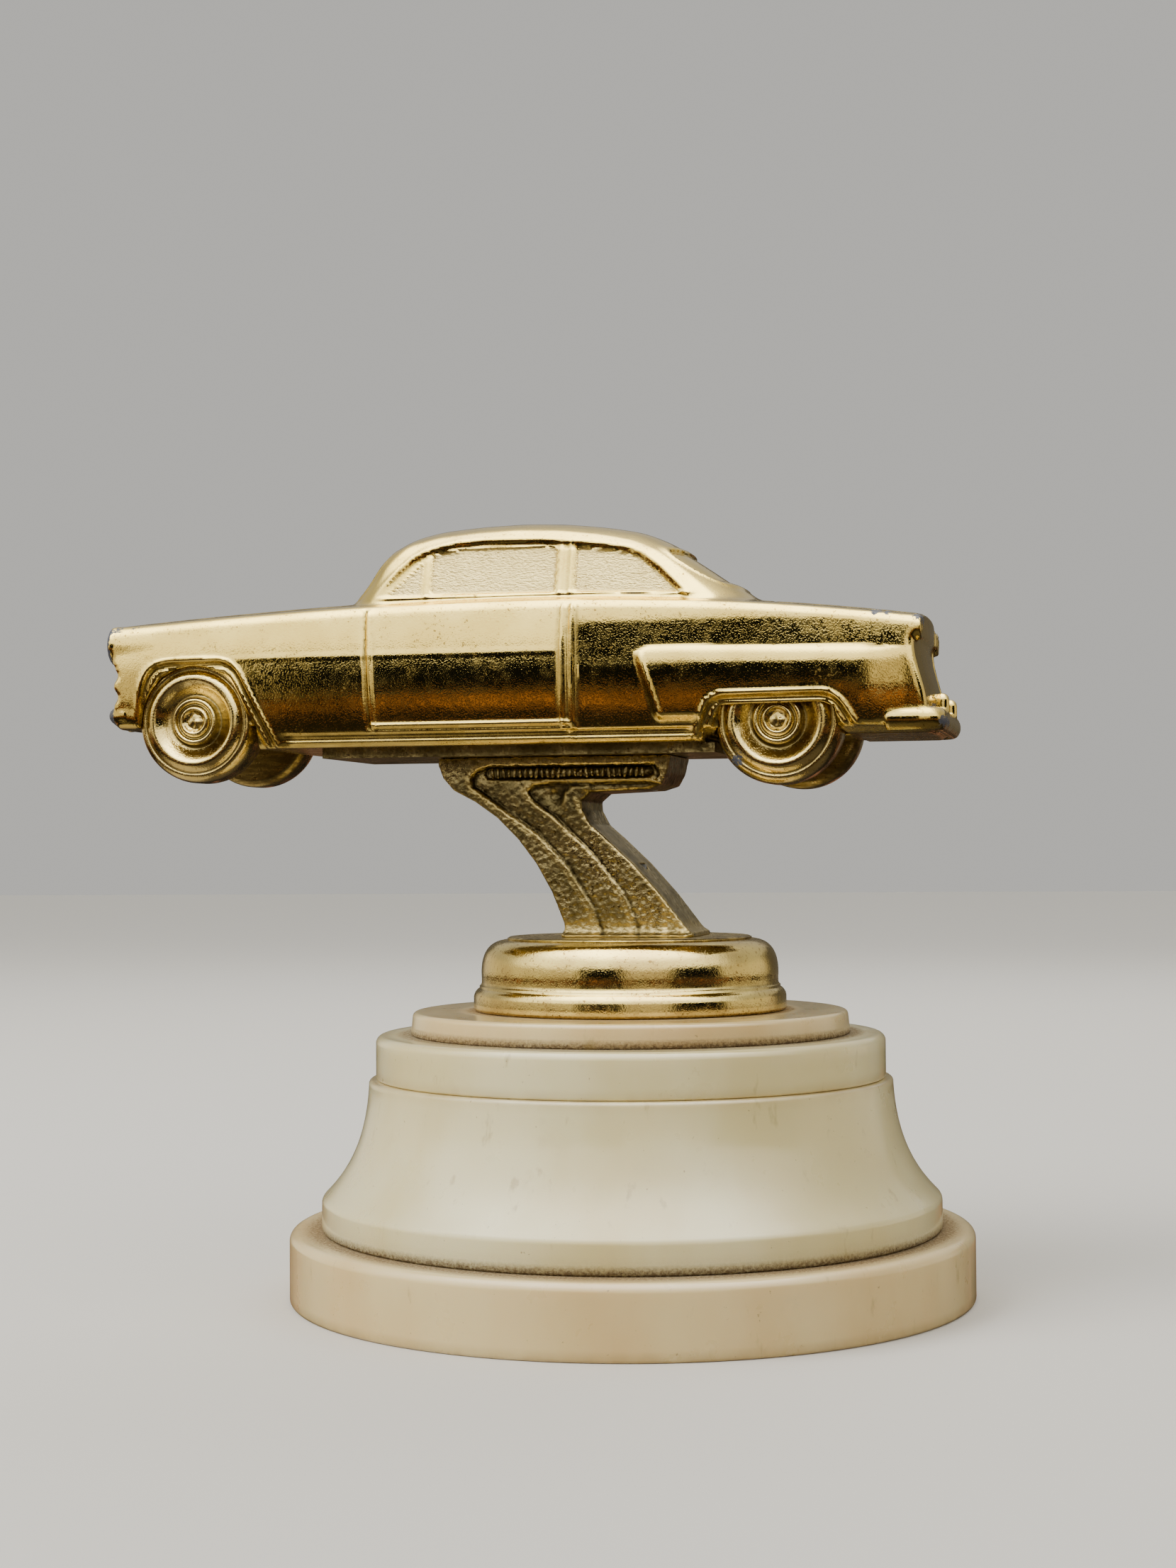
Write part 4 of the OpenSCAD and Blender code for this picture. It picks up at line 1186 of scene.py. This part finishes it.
def grown(name, tree, sizes):
    """The plain mesh that a geometry tree makes with the sizes it is given."""
    obj = bpy.data.objects.new(name, bpy.data.meshes.new(name))
    bpy.context.scene.collection.objects.link(obj)
    modifier = obj.modifiers.new("shape", "NODES")
    modifier.node_group = tree
    for item in tree.interface.items_tree:
        if item.item_type == "SOCKET" and item.in_out == "INPUT":
            modifier[item.identifier] = sizes[item.name]
    bpy.context.view_layer.update()
    seen = obj.evaluated_get(bpy.context.evaluated_depsgraph_get())
    mesh = bpy.data.meshes.new_from_object(seen)
    obj.modifiers.clear()
    obj.data = mesh
    return obj


def lifted(tree, mesh, z):
    """A mesh moved up to a height."""
    place = add(tree, "ShaderNodeCombineXYZ", {}, {"Z": z})
    return add(tree, "GeometryNodeTransform", {},
               {"Geometry": mesh, "Translation": place.outputs["Vector"]}).outputs["Geometry"]


def ticks_tree(material):
    """A row of small upright ribs on each side of the strut, each a little different."""
    tree, given, result = node_tree("panel_ticks", [
        ("Ribs", "NodeSocketInt"), ("Seed", "NodeSocketInt"), ("Rib Size", "NodeSocketVector"),
        ("Spacing", LENGTH), ("First X", LENGTH), ("Face Y", LENGTH), ("Middle Z", LENGTH)])
    joined = add(tree, "GeometryNodeJoinGeometry")
    step_x = add(tree, "ShaderNodeCombineXYZ", {}, {"X": given["Spacing"]})
    for side in (-1.0, 1.0):
        y = times(tree, given["Face Y"], side)
        start = add(tree, "ShaderNodeCombineXYZ", {},
                    {"X": given["First X"], "Y": y, "Z": given["Middle Z"]})
        row = add(tree, "GeometryNodeMeshLine", {},
                  {"Count": given["Ribs"], "Start Location": start.outputs["Vector"],
                   "Offset": step_x.outputs["Vector"]})
        tree.links.new(row.outputs["Mesh"], joined.inputs["Geometry"])
    bead = add(tree, "GeometryNodeMeshIcoSphere", {}, {"Radius": 0.5, "Subdivisions": 2})
    rib = add(tree, "GeometryNodeTransform", {},
              {"Geometry": bead.outputs["Mesh"], "Scale": given["Rib Size"]})
    sway = add(tree, "FunctionNodeRandomValue", {"data_type": "FLOAT"},
               {2: -0.22, 3: 0.22, "Seed": given["Seed"]})
    lean = add(tree, "ShaderNodeCombineXYZ", {}, {"Y": sway.outputs[1]})
    swell = add(tree, "FunctionNodeRandomValue", {"data_type": "FLOAT_VECTOR"},
                {0: (0.8, 0.8, 0.75), 1: (1.1, 1.1, 1.15), "Seed": given["Seed"]})
    ribs = add(tree, "GeometryNodeInstanceOnPoints", {},
               {"Points": joined.outputs["Geometry"], "Instance": rib.outputs["Geometry"],
                "Rotation": lean.outputs["Vector"], "Scale": swell.outputs[0]})
    finish_tree(tree, ribs.outputs["Instances"], material, result)
    return tree


def make_ticks():
    """Ribs that fill the sunk panel along the top of the strut, half buried in its floor."""
    rib_size = (0.75 * MM, 0.9 * MM, 1.7 * MM)
    pitch = 0.95
    first, last = -21.5, 4.2
    obj = grown("strut_panel_ticks", ticks_tree(ROUGH_GOLD), {
        "Ribs": int((last - first) / pitch) + 1, "Spacing": pitch * MM, "First X": first * MM,
        "Face Y": (STRUT_HALF - 0.5) * MM, "Middle Z": (flange_top + 27.4) * MM,
        "Rib Size": rib_size, "Seed": 11})
    enter(obj, "figure")


def thread_tree(material):
    """A rod with a plain shank and a thread that winds round its lower end."""
    tree, given, result = node_tree("threaded_rod", [
        ("Rod Radius", LENGTH), ("Bottom", LENGTH), ("Top", LENGTH), ("Thread Length", LENGTH),
        ("Pitch", LENGTH)])
    joined = add(tree, "GeometryNodeJoinGeometry")
    crest = times(tree, given["Pitch"], 0.42)
    root = maths(tree, "SUBTRACT", given["Rod Radius"], crest)
    thread_end = plus(tree, given["Bottom"], given["Thread Length"])
    for radius, low, high in ((root, given["Bottom"], thread_end),
                              (given["Rod Radius"], thread_end, given["Top"])):
        core = add(tree, "GeometryNodeMeshCylinder", {},
                   {"Vertices": 48, "Radius": radius, "Depth": maths(tree, "SUBTRACT", high, low)})
        core = lifted(tree, core.outputs["Mesh"], times(tree, plus(tree, high, low), 0.5))
        tree.links.new(core, joined.inputs["Geometry"])
    wound = maths(tree, "SUBTRACT", given["Thread Length"], times(tree, crest, 2.0))
    turns = maths(tree, "DIVIDE", wound, given["Pitch"])
    helix = add(tree, "GeometryNodeCurveSpiral", {},
                {"Resolution": 28, "Rotations": turns, "Start Radius": root, "End Radius": root,
                 "Height": wound})
    ridge_shape = add(tree, "GeometryNodeCurvePrimitiveCircle", {}, {"Resolution": 4, "Radius": crest})
    ridge_mesh = add(tree, "GeometryNodeCurveToMesh", {},
                     {"Curve": helix.outputs["Curve"], "Profile Curve": ridge_shape.outputs["Curve"],
                      "Fill Caps": True})
    thread = lifted(tree, ridge_mesh.outputs["Mesh"], plus(tree, given["Bottom"], crest))
    tree.links.new(thread, joined.inputs["Geometry"])
    finish_tree(tree, joined.outputs["Geometry"], material, result)
    return tree


def make_rod():
    """The tie rod, threaded where the clamp nut runs."""
    obj = grown("threaded_tie_rod", thread_tree(STEEL), {
        "Rod Radius": rod_r * MM, "Bottom": rod_low[2] * MM, "Top": rod_top * MM,
        "Thread Length": 13.0 * MM, "Pitch": 1.0 * MM})
    enter(obj, "figure", "tie_rod")


make_ticks()
make_rod()


# ---------------------------------------------------------------- materials of the CAD pieces

def dress(node, material):
    """Give a CAD piece a material."""
    obj = bpy.data.objects[node]
    for place in obj.material_slots:
        place.material = material
    if not obj.material_slots:
        obj.data.materials.append(material)


dress("floor_plate", ROUGH_GOLD)
for name in ("saddle_screws", "flange_nut", "clamp_washer", "spring_washer", "clamp_nut"):
    dress(name, STEEL)


# ---------------------------------------------------------------- floor, light and camera

def make_floor():
    """A plain pale floor."""
    mat = bpy.data.materials.new("pale_floor")
    mat.use_nodes = True
    shader = mat.node_tree.nodes["Principled BSDF"]
    shader.inputs["Base Color"].default_value = linear("#cfccc6")
    shader.inputs["Roughness"].default_value = 0.9
    half = 4.0
    mesh = bpy.data.meshes.new("floor")
    mesh.from_pydata([(-half, -half, 0), (half, -half, 0), (half, half, 0), (-half, half, 0)], [],
                     [(0, 1, 2, 3)])
    mesh.materials.append(mat)
    floor = bpy.data.objects.new("floor", mesh)
    floor.visible_glossy = False
    bpy.context.scene.collection.objects.link(floor)


def window(tree, value, start, end, soft):
    """1 between two values and 0 outside them, with soft edges."""
    rise = ramp(tree, value, start - soft, start + soft)
    return times(tree, rise, ramp(tree, value, end - soft, end + soft, 1.0, 0.0))


def make_world():
    """Soft studio surround, brighter overhead. What a mirror sees of it is bright above and brown
    below, with dark shapes at eye level, so that the polished gold has something to reflect."""
    world = bpy.data.worlds.new("studio")
    bpy.context.scene.world = world
    world.use_nodes = True
    tree = world.node_tree
    tree.nodes.clear()
    out = tree.nodes.new("ShaderNodeOutputWorld")
    way = add(tree, "ShaderNodeTexCoord").outputs["Generated"]
    part = add(tree, "ShaderNodeSeparateXYZ", {}, {"Vector": way})
    stretch = add(tree, "ShaderNodeMapping", {}, {"Vector": way, "Scale": (1.0, 1.0, 0.5)})
    wobble = add(tree, "ShaderNodeTexNoise", {},
                 {"Vector": stretch.outputs["Vector"], "Scale": 9.0, "Detail": 8.0,
                  "Roughness": 0.62})
    ragged = times(tree, maths(tree, "SUBTRACT", wobble.outputs["Fac"], 0.5), 0.12)
    height = plus(tree, part.outputs["Z"], ragged)
    away = times(tree, part.outputs["Y"], -1.0)
    bearing = plus(tree, maths(tree, "ARCTAN2", part.outputs["X"], away), ragged)
    sky = mix(tree, ramp(tree, height, 0.22, 0.62), linear("#dcd6c4"), linear("#e9e7df"))
    # the wall behind the object is duller than the sky before it
    wall = times(tree, ramp(tree, part.outputs["Y"], -0.35, 0.3),
                 ramp(tree, height, 0.75, 0.98, 1.0, 0.0))
    sky = tint(tree, sky, times(tree, wall, 0.85), "#57534a")
    eye_level = mix(tree, ramp(tree, height, 0.12, 0.3), linear("#8d8470"), sky)
    dark = window(tree, bearing, -0.47, 0.12, 0.05)
    dark = plus(tree, dark, window(tree, bearing, 0.75, 1.5, 0.08), True)
    turned_away = add(tree, "ShaderNodeMath", {"operation": "ABSOLUTE"}, {0: bearing})
    back = window(tree, turned_away.outputs["Value"], 2.5, 3.6, 0.1)
    dark = plus(tree, dark, times(tree, back, 0.85), True)
    dark = times(tree, dark, window(tree, height, -0.07, 0.27, 0.018))
    scene_light = tint(tree, eye_level, dark, "#07080a")
    bench = mix(tree, window(tree, bearing, -2.6, -0.55, 0.3), linear("#3a352f"), linear("#857c6c"))
    ground = tint(tree, bench, ramp(tree, height, -0.7, -0.36), "#12100e")
    patches = add(tree, "ShaderNodeTexNoise", {},
                  {"Vector": stretch.outputs["Vector"], "Scale": 16.0, "Detail": 4.0})
    orange = times(tree, ramp(tree, patches.outputs["Fac"], 0.49, 0.54),
                   window(tree, plus(tree, height, ragged), -0.23, -0.1, 0.012))
    ground = tint(tree, ground, orange, "#64432f")
    scene_light = mix(tree, ramp(tree, height, -0.075, -0.06), ground, scene_light)
    brightness = ramp(tree, part.outputs["Z"], 0.5, 0.95, 3.0, 9.0)
    mirror = add(tree, "ShaderNodeBackground", {}, {"Color": scene_light, "Strength": brightness})
    backdrop = add(tree, "ShaderNodeBackground", {}, {"Color": linear("#dcdad5"), "Strength": 0.75})
    climb = ramp(tree, part.outputs["Z"], 0.0, 0.9, 0.25, 1.15)
    overhead = add(tree, "ShaderNodeBackground", {}, {"Color": linear("#e2e1dd"), "Strength": climb})
    seen = add(tree, "ShaderNodeLightPath")
    soft = add(tree, "ShaderNodeMixShader", {},
               {"Fac": seen.outputs["Is Camera Ray"], 1: overhead.outputs["Background"],
                2: backdrop.outputs["Background"]})
    both = add(tree, "ShaderNodeMixShader", {},
               {"Fac": seen.outputs["Is Glossy Ray"], 1: soft.outputs["Shader"],
                2: mirror.outputs["Background"]})
    tree.links.new(both.outputs["Shader"], out.inputs["Surface"])


def soft_box(name, place, size, power):
    """A large soft light aimed at the middle of the object; lengths in metres."""
    data = bpy.data.lights.new(name, "AREA")
    data.shape = "RECTANGLE"
    data.size, data.size_y = size
    data.energy = power
    data.color = (1.0, 0.985, 0.95)
    light = bpy.data.objects.new(name, data)
    aim = Vector((0.0, 0.0, 0.07)) - Vector(place)
    light.matrix_world = (Matrix.Translation(place)
                          @ aim.to_track_quat("-Z", "Y").to_matrix().to_4x4())
    light.visible_glossy = False
    bpy.context.scene.collection.objects.link(light)


def make_camera():
    """The camera: its place, its bearing and its focal length."""
    yaw, pan, pitch, roll = (math.radians(v) for v in (12.0, -0.982, 1.720, -0.423))
    distance, height = 398.6, 73.4
    ahead = Vector((math.sin(pan) * math.cos(pitch), math.cos(pan) * math.cos(pitch), math.sin(pitch)))
    right = Vector((math.cos(pan), -math.sin(pan), 0.0))
    up = right.cross(ahead)
    right, up = (right * math.cos(roll) + up * math.sin(roll),
                 up * math.cos(roll) - right * math.sin(roll))
    turn = Matrix.Rotation(yaw, 4, "Z")
    axes = Matrix((right, up, -ahead)).transposed().to_4x4()
    data = bpy.data.cameras.new("camera")
    data.lens = 54.08
    data.clip_start = 0.01
    camera = bpy.data.objects.new("camera", data)
    place = Matrix.Translation(Vector((0.0, -distance, height)) * MM)
    camera.matrix_world = turn @ place @ axes
    bpy.context.scene.collection.objects.link(camera)
    bpy.context.scene.camera = camera


make_floor()
make_world()
soft_box("key_light", (-0.75, -0.55, 0.95), (0.9, 0.7), 19.0)
soft_box("fill_light", (0.7, -0.3, 0.6), (0.7, 0.7), 1.5)
soft_box("back_light", (0.1, 0.8, 0.8), (0.9, 0.5), 4.0)
make_camera()
